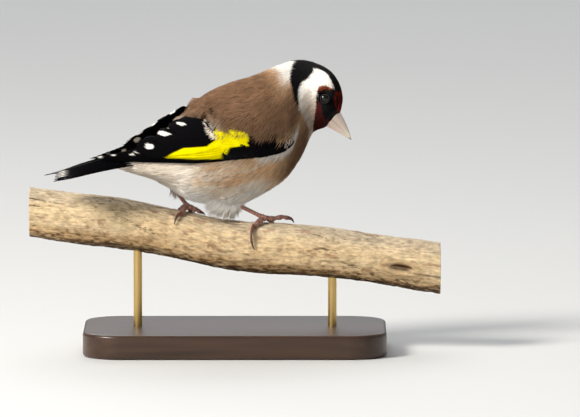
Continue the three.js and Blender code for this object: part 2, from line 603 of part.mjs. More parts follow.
// everything in its group
const goldfinch = new THREE.Group();
goldfinch.add(bird);
bird.add(
  meshOf("torso", torsoSolid, FINISH.brown),
  meshOf("neck", neckSolid, FINISH.brown),
  meshOf("head", headSolid, FINISH.cheek),
  meshOf("bill_upper", bill.upper.subtract(face), FINISH.bone),
  meshOf("bill_lower", bill.lower.subtract(face), FINISH.bone),
  meshOf("wing_right", wings.right, FINISH.black),
  meshOf("wing_left", wings.left, FINISH.black),
  meshOf("tail", tailSolid, FINISH.black),
);
for (const [name, { middle }] of Object.entries(EYES))
  bird.add(meshOf(`eye_${name}`, ballSolid(middle, EYE.radius, undefined, 16), FINISH.eye));
for (const [name, leg] of Object.entries(LEGS)) {
  const thigh = thighSolid(name, leg);
  bird.add(meshOf(`thigh_${name}`, thigh, FINISH.down));
  for (const [piece, solid] of Object.entries(footPieces(name, leg)))
    goldfinch.add(meshOf(piece, solid, piece.startsWith("claw") ? FINISH.claw : FINISH.skin));
}
goldfinch.add(
  meshOf("perch", perchSolid(), FINISH.wood),
  meshOf("stand_base", baseSolid(), FINISH.stained),
  meshOf("stand_rod_left", rodSolid(ROD.at[0]), FINISH.brass),
  meshOf("stand_rod_right", rodSolid(ROD.at[1]), FINISH.brass),
);

export default goldfinch;
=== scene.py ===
# %% [markdown]
# # A European goldfinch on its perch
#
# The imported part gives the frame: every node's place and size. This lesson keeps that frame and
# builds the looks over it. One skin carries the body, thousands of small feathers lie on the
# skin, and the wings, tail, bill, eyes, feet, perch and stand are surfaces worked out with numpy.
# All lengths below are millimetres, and meshes are written in metres.

import math

import bpy
import numpy as np
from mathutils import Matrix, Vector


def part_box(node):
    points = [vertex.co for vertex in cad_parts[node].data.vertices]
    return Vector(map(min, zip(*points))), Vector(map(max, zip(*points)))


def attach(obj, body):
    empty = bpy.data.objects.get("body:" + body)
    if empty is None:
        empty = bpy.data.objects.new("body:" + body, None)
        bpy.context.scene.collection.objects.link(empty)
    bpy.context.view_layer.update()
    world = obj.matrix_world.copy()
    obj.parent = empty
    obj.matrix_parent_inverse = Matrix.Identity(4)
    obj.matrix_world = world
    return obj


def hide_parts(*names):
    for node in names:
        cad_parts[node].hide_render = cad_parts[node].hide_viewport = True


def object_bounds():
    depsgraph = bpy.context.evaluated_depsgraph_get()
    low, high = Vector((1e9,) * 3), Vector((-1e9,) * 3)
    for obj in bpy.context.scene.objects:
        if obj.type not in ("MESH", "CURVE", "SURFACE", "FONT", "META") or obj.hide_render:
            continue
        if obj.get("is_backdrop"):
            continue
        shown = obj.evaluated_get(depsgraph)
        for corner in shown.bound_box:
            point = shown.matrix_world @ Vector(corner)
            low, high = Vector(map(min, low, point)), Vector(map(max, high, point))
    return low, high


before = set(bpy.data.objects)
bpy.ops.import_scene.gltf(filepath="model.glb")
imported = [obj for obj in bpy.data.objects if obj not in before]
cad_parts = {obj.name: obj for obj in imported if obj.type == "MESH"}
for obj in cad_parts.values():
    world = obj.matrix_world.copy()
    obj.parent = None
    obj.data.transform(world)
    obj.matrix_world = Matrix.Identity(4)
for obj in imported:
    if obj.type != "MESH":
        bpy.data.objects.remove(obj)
box_at_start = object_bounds()
rng = np.random.default_rng(11)
MM = 0.001
print("frame nodes:", len(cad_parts))

# %% [markdown]
# ## Small tools
#
# Shapes that run along a body are easiest as values at a few places with a smooth curve between.
# The alternative, a list of every point, is long and can't be changed by hand. `curve` is a cubic
# whose slopes come from its neighbours, so it passes through each value given.

# %% Curves and noise
def smooth(low, high, x):
    """0 below low, 1 above high, and an S curve between."""
    t = np.clip((np.asarray(x, float) - low) / (high - low), 0, 1)
    return t * t * (3 - 2 * t)


def bell(x, middle, width):
    """1 at the middle, falling away to both sides like a bell."""
    return np.exp(-(((np.asarray(x, float) - middle) / width) ** 2))


def mix(a, b, t):
    """a where t is 0, b where t is 1."""
    return a + (b - a) * t


def curve(points, x):
    """Rows [x, values...] joined by cubics; slopes are taken from the row before to the one after."""
    p, x = np.asarray(points, float), np.asarray(x, float)
    last = len(p) - 1
    i = np.clip(np.searchsorted(p[:, 0], x, side="right") - 1, 0, last - 1)

    def row(k):
        return p[np.clip(k, 0, last)]

    def slope(k):
        return (row(k + 1) - row(k - 1)) / (row(k + 1)[..., :1] - row(k - 1)[..., :1])

    a, b = row(i), row(i + 1)
    d = b[..., :1] - a[..., :1]
    t = np.clip((x[..., None] - a[..., :1]) / d, 0, 1)
    h = t * t * (3 - 2 * t)
    return (a + (b - a) * h + d * t * (1 - t) * (slope(i) * (1 - t) - slope(i + 1) * t))[..., 1:]


def noise(p, seed=0):
    """Smooth noise from -1 to 1: random values on the corners of a unit grid, blended between."""
    p = np.asarray(p, float)
    cell = np.floor(p).astype(np.int64)
    f = p - cell
    f = f * f * (3 - 2 * f)
    total = np.zeros(p.shape[:-1])
    for corner in range(8):
        bits = np.array([corner & 1, corner >> 1 & 1, corner >> 2 & 1])
        k = cell + bits
        h = k[..., 0] * 73856093 ^ k[..., 1] * 19349663 ^ k[..., 2] * 83492791 ^ (seed * 7919 + 17)
        h = (h ^ (h >> 13)) * 1274126177
        value = ((h ^ (h >> 16)) & 0xFFFF) / 32767.5 - 1
        total += value * np.prod(np.where(bits, f, 1 - f), axis=-1)
    return total


def rough(p, seed=0, octaves=4):
    """Several noises added, each twice as fine and half as strong as the one before."""
    return sum(noise(np.asarray(p) * 2**k, seed + k) / 2**k for k in range(octaves))


def unit(v):
    return v / np.maximum(np.linalg.norm(v, axis=-1, keepdims=True), 1e-12)


def colour(r, g, b):
    """A screen colour, 0 to 255, as the linear values that shaders use."""
    c = np.array([r, g, b]) / 255
    return np.where(c <= 0.04045, c / 12.92, ((c + 0.055) / 1.055) ** 2.4)


# %% [markdown]
# ## From arrays to meshes
#
# Blender can take a mesh vertex by vertex, but whole arrays are far faster: `foreach_set` hands
# over every coordinate at once. Each new piece rides on the body `root`, takes the place of the
# nodes that it stands for, and gets its material.

# %% Mesh helpers
def piece(name, points, faces, material, stands_for=(), tint=None, uv=None, extra=None):
    """A mesh from points in mm and faces of 3 or 4 corners. tint is a colour for each point, uv a
    pair for each face corner, extra a number for each point that the material can read."""
    groups = [np.asarray(g) for g in (faces if isinstance(faces, list) else [faces])]
    corners = np.concatenate([g.ravel() for g in groups]).astype(np.int32)
    sizes = np.concatenate([np.full(len(g), g.shape[1]) for g in groups])
    starts = (np.cumsum(sizes) - sizes).astype(np.int32)
    mesh = bpy.data.meshes.new(name)
    mesh.vertices.add(len(points))
    mesh.vertices.foreach_set("co", (np.asarray(points) * MM).astype(np.float32).ravel())
    mesh.loops.add(len(corners))
    mesh.loops.foreach_set("vertex_index", corners)
    mesh.polygons.add(len(sizes))
    mesh.polygons.foreach_set("loop_start", starts)
    mesh.polygons.foreach_set("use_smooth", np.ones(len(sizes), bool))
    if tint is not None:
        rgba = np.ones((len(points), 4), np.float32)
        rgba[:, :3] = np.clip(tint, 0, 1)
        mesh.color_attributes.new("Tint", "FLOAT_COLOR", "POINT").data.foreach_set("color", rgba.ravel())
    if extra is not None:
        mesh.attributes.new("Line", "FLOAT", "POINT").data.foreach_set("value", extra.astype(np.float32))
    if uv is not None:
        mesh.uv_layers.new(name="OFBake").data.foreach_set("uv", uv.astype(np.float32).ravel())
    mesh.update(calc_edges=True)
    mesh.materials.append(material)
    made = bpy.data.objects.new(name, mesh)
    bpy.context.scene.collection.objects.link(made)
    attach(made, "root")
    if stands_for:
        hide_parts(*stands_for)
    triangles = int((sizes - 2).sum())
    print(f"{name}: {triangles} triangles")
    return made


def grid_faces(rows, columns, wrap=True):
    """Four-sided faces of a grid of rows x columns points, the last column joined to the first."""
    i, j = np.meshgrid(np.arange(rows - 1), np.arange(columns if wrap else columns - 1), indexing="ij")
    a, b = i * columns + j, i * columns + (j + 1) % columns
    return np.stack([a, b, b + columns, a + columns], -1).reshape(-1, 4)


def signed_volume(points, faces):
    """Positive where the faces of a closed mesh point outwards."""
    total = 0.0
    for g in faces if isinstance(faces, list) else [faces]:
        for k in range(1, g.shape[1] - 1):
            a, b, c = points[g[:, 0]], points[g[:, k]], points[g[:, k + 1]]
            total += np.einsum("ij,ij->", a, np.cross(b, c)) / 6
    return total


def closed_rings(rings):
    """Points and faces of a skin through rings (n, m, 3), each end closed at its own middle."""
    n, m = rings.shape[:2]
    points = np.concatenate([rings.reshape(-1, 3), rings[0].mean(0)[None], rings[-1].mean(0)[None]])
    j = np.arange(m)
    first = np.stack([(j + 1) % m, j, np.full(m, n * m)], -1)
    last = np.stack([(n - 1) * m + j, (n - 1) * m + (j + 1) % m, np.full(m, n * m + 1)], -1)
    faces = [grid_faces(n, m), first, last]
    if signed_volume(points, faces) < 0:
        faces = [f[:, ::-1] for f in faces]
    return points, faces


def closed_vanes(top, thick):
    """Thin closed sheets from grids (k, n, m, 3) of middle points and their outward ways times
    half the thickness. The two faces share one pattern, and a rim joins them."""
    k, n, m = top.shape[:3]
    points = np.stack([top + thick, top - thick], 1).reshape(-1, 3)
    a = grid_faces(n, m, wrap=False)
    rim = np.concatenate([np.arange(m), np.arange(1, n) * m + m - 1, (n - 1) * m + np.arange(m - 2, -1, -1),
                          np.arange(n - 2, 0, -1) * m])
    nxt = np.roll(rim, -1)
    one = np.concatenate([a, a[:, ::-1] + n * m, np.stack([nxt, rim, rim + n * m, nxt + n * m], -1)])
    faces = (one[None] + (np.arange(k) * 2 * n * m)[:, None, None]).reshape(-1, 4)
    if signed_volume(points, faces) < 0:
        faces = faces[:, ::-1]
    return points, faces


# %% [markdown]
# ## Materials
#
# The colours of the plumage are worked out at each point and stored on the mesh as `Tint`, because
# a bird's markings follow its body and not any simple pattern. The shader then adds what is too
# small for the mesh: fine lines, mottling and the way light catches each surface.

# %% Shader helpers
def shader(name, roughness, base=None, specular=0.5, **values):
    """A new material with its tree, its main shader, and colour from Tint unless base is given."""
    material = bpy.data.materials.new(name)
    material.use_nodes = True
    tree = material.node_tree
    main = tree.nodes["Principled BSDF"]
    main.inputs["Roughness"].default_value = roughness
    main.inputs["Specular IOR Level"].default_value = specular
    for key, value in values.items():
        main.inputs[key.replace("_", " ")].default_value = value
    if base is None:
        source = tree.nodes.new("ShaderNodeAttribute")
        source.attribute_name = "Tint"
        tree.links.new(source.outputs["Color"], main.inputs["Base Color"])
    else:
        main.inputs["Base Color"].default_value = (*base, 1)
    return material, tree, main


def speckle(tree, main, scale, strength, stretch=(1, 1, 1), detail=4.0, bump=0.0, reach=0.00005,
            span=(0, 1)):
    """Noise in object space that lightens and darkens the colour, and raises the surface a little.
    A narrow span of the noise gives sharp lines in place of soft clouds."""
    place = tree.nodes.new("ShaderNodeTexCoord")
    turn = tree.nodes.new("ShaderNodeMapping")
    turn.inputs["Scale"].default_value = stretch
    tree.links.new(place.outputs["Object"], turn.inputs["Vector"])
    cloud = tree.nodes.new("ShaderNodeTexNoise")
    cloud.inputs["Scale"].default_value = scale
    cloud.inputs["Detail"].default_value = detail
    tree.links.new(turn.outputs["Vector"], cloud.inputs["Vector"])
    ramp = tree.nodes.new("ShaderNodeMapRange")
    ramp.inputs["From Min"].default_value = span[0]
    ramp.inputs["From Max"].default_value = span[1]
    ramp.inputs["To Min"].default_value = 1 - strength
    ramp.inputs["To Max"].default_value = 1 + strength * (span == (0, 1))
    tree.links.new(cloud.outputs["Fac"], ramp.inputs["Value"])
    shade = tree.nodes.new("ShaderNodeVectorMath")
    shade.operation = "SCALE"
    link = next((k for k in tree.links if k.to_socket == main.inputs["Base Color"]), None)
    if link:
        tree.links.new(link.from_socket, shade.inputs[0])
    else:
        shade.inputs[0].default_value = main.inputs["Base Color"].default_value[:3]
    tree.links.new(ramp.outputs["Result"], shade.inputs["Scale"])
    tree.links.new(shade.outputs["Vector"], main.inputs["Base Color"])
    if bump:
        raised = tree.nodes.new("ShaderNodeBump")
        raised.inputs["Strength"].default_value = bump
        raised.inputs["Distance"].default_value = reach
        tree.links.new(cloud.outputs["Fac"], raised.inputs["Height"])
        tree.links.new(raised.outputs["Normal"], main.inputs["Normal"])
    return cloud


def ribs(tree, main, strength, reach):
    """Fine raised lines where the number stored as Line runs through whole turns."""
    source = tree.nodes.new("ShaderNodeAttribute")
    source.attribute_name = "Line"
    wave = tree.nodes.new("ShaderNodeMath")
    wave.operation = "SINE"
    tree.links.new(source.outputs["Fac"], wave.inputs[0])
    raised = tree.nodes.new("ShaderNodeBump")
    raised.inputs["Strength"].default_value = strength
    raised.inputs["Distance"].default_value = reach
    tree.links.new(wave.outputs["Value"], raised.inputs["Height"])
    tree.links.new(raised.outputs["Normal"], main.inputs["Normal"])


skin_material, t_, m_ = shader("skin", 0.9, specular=0.1)
speckle(t_, m_, 900, 0.12)
coat_material, t_, m_ = shader("body_feathers", 0.62, specular=0.13)
speckle(t_, m_, 1400, 0.1, detail=2.0)
vane_material, t_, m_ = shader("flight_feathers", 0.65, specular=0.015)
speckle(t_, m_, 700, 0.14, detail=3.0)
ribs(t_, m_, 0.14, 0.00003)
bill_material, t_, m_ = shader("bill_horn", 0.34, specular=0.45, Subsurface_Weight=0.1,
                               Subsurface_Scale=0.0006)
speckle(t_, m_, 500, 0.07, stretch=(0.4, 1, 1), bump=0.15, reach=0.00004)
leg_material, t_, m_ = shader("foot_skin", 0.46, specular=0.4)
speckle(t_, m_, 1500, 0.25, bump=0.4, reach=0.00006)
claw_material, t_, m_ = shader("claw_horn", 0.3, specular=0.5)
speckle(t_, m_, 900, 0.25, stretch=(1, 1, 0.4), bump=0.1, reach=0.00003)
wood_material, t_, m_ = shader("branch_wood", 0.8, specular=0.2)
speckle(t_, m_, 1500, 0.2, stretch=(0.12, 1, 1), detail=6.0, span=(0.36, 0.5), bump=0.5, reach=0.00013)
speckle(t_, m_, 2600, 0.2, stretch=(0.3, 1, 1), detail=3.0)
speckle(t_, m_, 620, 0.13, stretch=(0.5, 1, 1), detail=9.0, span=(0.4, 0.5), bump=0.7, reach=0.0002)
eye_material, t_, m_ = shader("eye", 0.0, specular=0.45)
speckle(t_, m_, 2500, 0.3)
lid_material, t_, m_ = shader("eyelid", 0.55, specular=0.3)
speckle(t_, m_, 2500, 0.2, bump=0.3, reach=0.00004)
base_material, t_, m_ = shader("base_wood", 0.34, base=(0.05, 0.024, 0.012), specular=0.4, Coat_Weight=0.2,
                               Coat_Roughness=0.25)
speckle(t_, m_, 220, 0.75, stretch=(0.12, 1.6, 1.6), detail=9.0, bump=0.12, reach=0.0001)
brass_material, t_, m_ = shader("rod_brass", 0.3, base=(0.62, 0.43, 0.16), Metallic=1.0)
speckle(t_, m_, 900, 0.14, stretch=(1, 1, 0.05), bump=0.08, reach=0.00002)
print("materials:", len(bpy.data.materials))

# %% [markdown]
# ## The body as one surface
#
# The skin is a function of two numbers: `t` runs from the tail coverts (0) to the face (17), and
# `angle` runs round the body, 0 on top and 90 on the bird's right. At each `t` the section is an
# oval between a top and a bottom point. The head's share of the turn is applied last. The same
# function, grown outwards, also carries every feather, so the coat can't drift off the body.

# %% Body surface
STATIONS = [  # t, top x, top z, bottom x, bottom z, half width, share of the head's turn
    [0, -45.4, -2.7, -43.2, -4.9, 1.9, 0], [1, -38.9, -1.0, -36.6, -7.2, 5.0, 0],
    [2, -31.3, 2.6, -28.8, -9.6, 8.4, 0], [3, -23.7, 7.2, -22.8, -12.4, 11.0, 0],
    [4, -17.3, 11.8, -18.2, -15.6, 13.2, 0], [5, -12.2, 17.2, -13.4, -18.2, 14.8, 0],
    [6, -6.8, 21.6, -6.9, -19.6, 15.6, 0], [7, -0.3, 24.4, 0.9, -19.8, 15.8, 0],
    [8, 5.8, 26.3, 9.4, -18.5, 15.6, 0], [9, 11.4, 27.9, 17.0, -15.3, 14.9, 0],
    [10, 16.4, 29.8, 22.9, -11.2, 13.9, 0], [11, 21.4, 31.9, 27.6, -5.2, 12.6, 0.08],
    [12, 27.2, 33.3, 30.5, 0.2, 11.2, 0.36], [13, 32.9, 32.7, 32.3, 4.3, 10.0, 0.72],
    [14, 38.8, 30.2, 33.9, 7.1, 9.2, 1], [15, 42.3, 25.7, 36.0, 8.4, 8.1, 1],
    [16, 43.9, 20.3, 37.8, 9.0, 6.1, 1], [17, 43.4, 14.9, 38.9, 9.5, 3.1, 1],
]
BIRD_AT, YAW, ROLL = np.array([-3.7, 0.0, 74.4]), math.radians(18), math.radians(8)
NECK_X, HEAD_TURN = 24.0, math.radians(-25)
THIGHS = [[7.15, 153, 0.7, 17, 2.3], [5.05, -151, 0.55, 15, 1.6]]  # t, angle, reach in each, height


def turn_z(p, angle):
    c, s = np.cos(angle), np.sin(angle)
    return np.stack([p[..., 0] * c - p[..., 1] * s, p[..., 0] * s + p[..., 1] * c, p[..., 2]], -1)


def to_row(p):
    """From the bird's own frame to the row's: rolled, turned and lifted to its place."""
    c, s = math.cos(ROLL), math.sin(ROLL)
    rolled = np.stack([p[..., 0], p[..., 1] * c - p[..., 2] * s, p[..., 1] * s + p[..., 2] * c], -1)
    return turn_z(rolled, YAW) + BIRD_AT


def turn_head(p, share=1.0):
    """Turns points about the upright line at the neck by a share of the head's turn."""
    away = p - np.array([NECK_X, 0, 0])
    return turn_z(away, HEAD_TURN * np.asarray(share)) + np.array([NECK_X, 0, 0])


def body(t, angle, grow=0.0):
    """The plumage's outer surface, moved out by grow: an oval between the top and bottom points
    of the section at t, wider over the shoulders and the thighs, turned at the neck."""
    t, angle, grow = np.broadcast_arrays(np.asarray(t, float), angle, grow)
    tx, tz, bx, bz, half, share = np.moveaxis(curve(STATIONS, t), -1, 0)
    c, s = np.cos(np.radians(angle)), np.sin(np.radians(angle))
    side = (angle + 180) % 360 - 180
    for t0, a0, dt, da, lift in THIGHS:
        grow = grow + lift * bell(t, t0, dt) * bell(side, a0, da)
    height = np.hypot(tx - bx, tz - bz) / 2
    up_x, up_z = (tx - bx) / (2 * height), (tz - bz) / (2 * height)
    shoulder = smooth(5.2, 6.8, t) * (1 - smooth(10.0, 11.6, t)) * bell(np.abs(c), 0.62, 0.36) * (c > 0)
    out = half * (1 - 0.06 * c) + grow + 1.7 * shoulder
    rise = (height + grow) * c
    p = np.stack([(tx + bx) / 2 + up_x * rise, -out * s, (tz + bz) / 2 + up_z * rise], -1)
    return turn_head(p, share)


def outward(t, angle):
    """The way out of the surface, from how it runs along and round the body."""
    along = body(t + 0.02, angle) - body(t - 0.02, angle)
    round_ = body(t, angle + 0.5) - body(t, angle - 0.5)
    return unit(np.cross(along, round_))


check = outward(np.array([7.0]), np.array([90.0]))[0]
OUT_SIGN = 1.0 if check[1] < 0 else -1.0
print("middle of the back in the row frame:", np.round(to_row(body(7.0, 0.0)), 1))

# %% [markdown]
# ## Markings
#
# A goldfinch's face is drawn in patches with soft, feathery edges. Each patch is a polygon of a
# few points in (t, angle), alike on both sides, and the distance to its edge gives a blend. An
# image would be simpler, but it would fix the colours to one view; these follow the body.

# %% Plumage colours
BROWN, DARK_BROWN = colour(140, 108, 82), colour(92, 68, 50)
BUFF, WHITE, CREAM = colour(226, 186, 142), colour(243, 238, 230), colour(226, 208, 186)
BLACK, RED, DARK_RED = colour(9, 8, 10), colour(146, 30, 12), colour(66, 15, 10)
RUST, ASH, YELLOW = colour(132, 54, 22), colour(158, 142, 126), colour(255, 238, 0)
MM_T, MM_A = 5.2, 0.17  # how far one unit of t and one degree go on the head, in mm

CAP = [(12.1, -20), (11.6, 9), (11.3, 23), (10.98, 38), (10.9, 57), (11.05, 69), (11.2, 78), (11.38, 62),
       (11.72, 52), (12.46, 47), (12.9, 36), (12.98, 24), (13.4, 19), (13.95, 20), (14.43, 28), (14.95, 36),
       (15.1, 28), (15.45, 15), (15.6, -20)]
CHEEK = [(12.98, 24), (12.9, 36), (12.46, 47), (11.72, 52), (11.38, 62), (11.2, 78), (11.75, 98),
         (12.5, 120), (13.3, 140), (13.8, 129), (13.82, 106), (13.66, 92), (13.5, 79), (13.55, 66),
         (14.0, 54), (14.55, 43), (14.7, 42), (14.2, 29), (13.8, 21), (13.4, 19)]
MASK = [(15.45, -20), (15.3, 15), (14.98, 34), (14.62, 42), (14.0, 49), (13.44, 59), (13.42, 79),
        (13.58, 92), (13.74, 106), (13.8, 125), (14.0, 145), (14.3, 200), (17.5, 200), (17.5, -20)]
BROW = [(13.44, 60), (13.74, 54), (14.04, 49), (14.4, 43.5), (14.66, 44), (14.6, 47.6), (14.3, 51.8),
        (14.0, 56), (13.78, 61.5), (13.5, 65.5)]
FRONT = [(15.02, 38), (15.42, 16), (15.55, -20), (17.3, -20), (17.25, 30), (16.75, 42), (16.35, 52),
         (15.85, 62), (15.5, 60), (15.2, 52)]
CHIN = [(13.55, 86), (13.75, 80), (14.15, 86), (14.6, 98), (15.2, 110), (15.72, 116), (16.28, 128),
        (16.7, 145), (17.3, 200), (14.2, 200), (13.9, 146), (13.7, 125), (13.66, 106)]
CRESCENT = [(7.8, 98), (9.0, 99), (9.8, 100), (10.15, 98), (10.4, 94), (10.65, 92), (10.9, 94), (10.95, 98),
            (10.75, 104), (10.2, 112), (9.4, 113), (8.2, 107)]


def inside(shape, t, side, soft):
    """1 inside the polygon and 0 outside, blended over soft mm, from the distance to its edges."""
    p = np.stack([t * MM_T, side * MM_A], -1)
    corners = np.array(shape) * [MM_T, MM_A]
    near = np.full(t.shape, 1e9)
    within = np.zeros(t.shape, bool)
    for a, b in zip(corners, np.roll(corners, -1, 0)):
        d = b - a
        k = np.clip(((p - a) @ d) / (d @ d), 0, 1)
        near = np.minimum(near, np.linalg.norm(p - a - k[..., None] * d, axis=-1))
        crosses = (a[1] > p[..., 1]) != (b[1] > p[..., 1])
        at = a[0] + (p[..., 1] - a[1]) / (d[1] if abs(d[1]) > 1e-9 else 1e-9) * d[0]
        within ^= crosses & (p[..., 0] < at)
    return smooth(-soft, soft, np.where(within, near, -near))


def lay(under, over, share):
    return under + (over - under) * share[..., None]


def plumage(t, angle, soft=0.35):
    """The feathers' colour at a place on the body, alike on both sides, with painted shade on the front of
    the breast, the rear, the lower face and the chin.
    """
    t, angle = np.broadcast_arrays(np.asarray(t, float), np.asarray(angle, float))
    side = np.abs((angle + 180) % 360 - 180)
    patch = noise(np.stack([t * 1.3, angle * 0.05, t * 0], -1), 3)
    streak = noise(np.stack([t * 0.9, angle * 0.32, t * 0], -1), 5)
    tint = np.broadcast_to(WHITE, (*t.shape, 3))
    flank = bell(side, 104, 38) * smooth(3.0, 6.0, t) * (1 - 0.3 * smooth(8.5, 10, t))
    breast = smooth(8.0, 9.6, t) * (1 - smooth(146, 174, side)) * (1 - smooth(12.2, 13.2, t))
    tint = lay(tint, BUFF, np.clip(flank * (0.8 + 0.3 * patch + 0.35 * streak) + breast * 0.7, 0, 1))
    # The breast's brown band deepens to dark brown at its front: painted shade over the real brown band.
    tint = lay(tint, BROWN, np.clip(breast * bell(side, 118, 34) * smooth(9.2, 11.0, t) * 0.9, 0, 1))
    tint = lay(tint, DARK_BROWN, breast * bell(side, 138, 42) * smooth(8.2, 10.2, t) * 0.85)
    back = (1 - smooth(82, 96, side)) * smooth(2.8, 4.4, t)
    tint = lay(tint, BROWN, back)
    tint = lay(tint, DARK_BROWN, back * np.clip(0.25 * patch + 0.45 * streak, 0, 0.6))
    tint = lay(tint, BUFF, 0.5 * back * smooth(9.0, 10.4, t) * (1 - smooth(40, 64, side)))
    tint = lay(tint, WHITE, back * smooth(9.8, 10.7, t + 0.15 * patch) * (1 - smooth(28, 50, side)))
    # The rear's cream is dulled to 0.86: painted shade over the real cream of the rump and vent.
    tint = lay(tint, CREAM * 0.86, (1 - smooth(2.6, 5.0, t)) * 0.7)
    hairs = noise(np.stack([t * 1.2, angle * 1.1, t * 0], -1), 27)
    tint = lay(tint, WHITE, inside(CRESCENT, t, side, 0.8)
               * mix(smooth(-0.2, 0.4, hairs), 0.85, smooth(94, 102, side)))
    cheek = inside(CHEEK, t, side, soft)
    # The cheek greys towards its lower edge, and the side of the throat below it more: painted shade, with
    # grey streaks of the feathers' own.
    tint = lay(tint, mix(WHITE, ASH, (0.85 * smooth(54, 94, side)
                                      + 0.25 * np.clip(streak, 0, 1))[..., None]), cheek)
    tint = lay(tint, ASH,
               smooth(11.8, 12.6, t) * smooth(112, 130, side) * (1 - smooth(13.8, 14.4, t)) * 0.6)
    tint = lay(tint, BLACK, inside(CAP, t, side, soft))
    tint = lay(tint, BLACK, inside(MASK, t, side, soft))
    mottle = smooth(-0.8, 0.6, noise(np.stack([t * 5, angle * 0.16, t * 0], -1), 7))
    dusk = mix(BLACK, DARK_RED, 0.4)
    tint = lay(tint, mix(dusk, RED, 0.8 * mottle[..., None]), inside(FRONT, t, side, soft))
    tint = lay(tint, mix(dusk, RUST, mottle[..., None]), inside(BROW, t, side, soft * 0.7))
    # The chin is laid mostly in dusk, a red-black: painted shade over the red of the chin.
    return lay(tint, mix(dusk, RED, 0.2 * mottle[..., None]), inside(CHIN, t, side, soft))


print("colour of the cheek:", np.round(plumage(np.array([13.0]), np.array([60.0]))[0], 2))

# %% [markdown]
# ## The folded wing's wall
#
# The folded wing is a curved wall beside the body, given by how far it stands out at each place
# (x, z) of the side view. The body's feathers need it too: those of the back lie over the wing's
# upper edge, and those of the breast over its front end.

# %% Wing wall
FOLDED = [  # x, half width, lower edge, top of the back
    [-55, 1.4, -1.2, 0.4], [-50, 2.4, -1.2, 1.2], [-44, 4.2, -0.9, 2.6], [-38, 5.8, -0.5, 4.4],
    [-31, 8.8, 0.0, 7.6], [-23, 12.1, 0.3, 11.4], [-15, 15.2, 0.4, 15.4], [-6, 16.8, 0.6, 22.0],
    [4, 17.1, 1.0, 25.8], [12, 16.5, 1.6, 28.0], [17, 15.6, 2.8, 29.5], [20, 14.8, 4.4, 31.0],
    [25, 13.2, 8.6, 32.0],
]
COVER = [  # x, and the z down to which the back's feathers hide the wing
    [-40, 2.6], [-31, 7.0], [-23, 10.8], [-17.5, 14.2], [-14.7, 15.2], [-11.9, 12.3], [-9.2, 9.0],
    [-7.4, 9.2], [-2.1, 9.5], [2.7, 8.7], [5.0, 7.6], [8.7, 7.8], [12.2, 8.2], [16.0, 7.2], [19.3, 8.2],
    [21.4, 9.8], [23, 14.0],
]
FRONT_X = 20.8  # the breast's feathers hide the wing from here on
TOP_LIFT = 1.5  # how far the topmost coverts stand over the wall


def folded(x, z):
    """How far from the middle plane the folded wing stands at a place of the side view."""
    half, low, top = np.moveaxis(curve(FOLDED, x), -1, 0)
    share = np.minimum(np.abs((z - low) / (top - low)), 0.985)
    power = mix(3.1, 2.4, smooth(-24, -4, x))
    return half * (1 - share**power) ** (1 / power)


def wall_out(x, z, side):
    """The way out of the wall."""
    e = 0.4
    dx = (folded(x + e, z) - folded(x - e, z)) / (2 * e)
    dz = (folded(x, z + e) - folded(x, z - e)) / (2 * e)
    return unit(np.stack([-dx, np.broadcast_to(side, dx.shape), -dz], -1))


def sunk(x, z):
    """How far the front end of the wing goes in under the breast's feathers."""
    return 4.5 * smooth(19.5, 26.0, x + 0.25 * (z - 9))


def tucked(x, z):
    """How far the wing's feathers go down where the back's feathers lie over them."""
    return 1.3 * smooth(0.8, 3.2, z - curve(COVER, x)[..., 0]) * smooth(-15, -11, x)


def on_wing(x, z, lift, side):
    """A point of the wing and the way out of it. The left wing lies a little lower at its end."""
    out = wall_out(x, z, side)
    lower = 1.1 * (1 - smooth(-34, -2, x)) if side > 0 else 0.0
    lift = np.asarray(lift) - sunk(x, z) - tucked(x, z)
    return np.stack([x, side * folded(x, z), z - lower], -1) + out * lift[..., None], out


def under_wing(t, angle):
    """True where a feather's tip would lie over the open part of the folded wing."""
    x, y, z = np.moveaxis(body(t, angle), -1, 0)
    low, top = curve(FOLDED, x)[..., 1], curve(COVER, x)[..., 0]
    return ((x > -37) & (x < FRONT_X) & (z > low + 0.6) & (z < top - 1.4)
            & (np.abs(y) > 3 + 4 * bell(x, -17, 6)))


def over_wing(t, angle):
    """How far out feathers stand so that they lie over the edge of the wing and not in it."""
    x, y, z = np.moveaxis(body(t, angle), -1, 0)
    top = curve(COVER, x)[..., 0]
    gap = (folded(x, z) - np.abs(y)) * np.abs(wall_out(x, z, 1.0)[..., 1]) + TOP_LIFT - sunk(x, z)
    near = (1 - smooth(4.0, 9.0, z - top)) * (z > curve(FOLDED, x)[..., 1] + 1.0) * (1 - smooth(22, 26, x))
    valley = 1.7 * bell(x, -20, 4.5) * (1 - smooth(3.5, 8, np.abs(y))) * (z > 4)
    return np.clip(gap, 0, 4.0) * near * smooth(-15, -10, x) * (np.abs(y) > 3) + valley


print("the wall at the wing's widest:", round(float(folded(np.array(4.0), np.array(5.0))), 1))

# %% [markdown]
# ## The skin
#
# The skin lies inside the outer form by the depth of the coat: thin on the face, deeper on the
# back and belly. It is one closed surface, with a hollow for each eye, so that no seam can show
# between head, neck and body. Its own unwrap is simply (t, angle), and the coat shares it.

# %% Skin
FEATHERED = [[-5, 16.95], [0, 16.95], [18, 16.86], [50, 16.4], [80, 15.9], [105, 15.55], [122, 15.4],
             [134, 15.8], [150, 16.3], [180, 16.5],
             [190, 16.5]]  # side angle and the t where the bill's base begins


def feather_end(side):
    return curve(FEATHERED, np.abs(side))[..., 0]


def depth(t):
    """How far the skin lies under the outer feathers: the coat's depth in mm."""
    return curve([[0, 0.5], [2, 1.1], [5, 1.7], [9, 1.7], [11.5, 1.4], [13, 0.95], [15, 0.6],
                  [17, 0.35]], t)[..., 0]


def unwrap(t, angle):
    """The skin's flat map: along the body one way and round it the other, the seam underneath."""
    side = (np.asarray(angle, float) + 180) % 360 - 180
    return np.stack([0.02 + 0.96 * np.asarray(t) / 17, 0.02 + 0.96 * (side + 180) / 360], -1)


def eye_of(name):
    low, high = (np.array(v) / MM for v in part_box(name))
    return (low + high) / 2, float((high - low).mean() / 2)


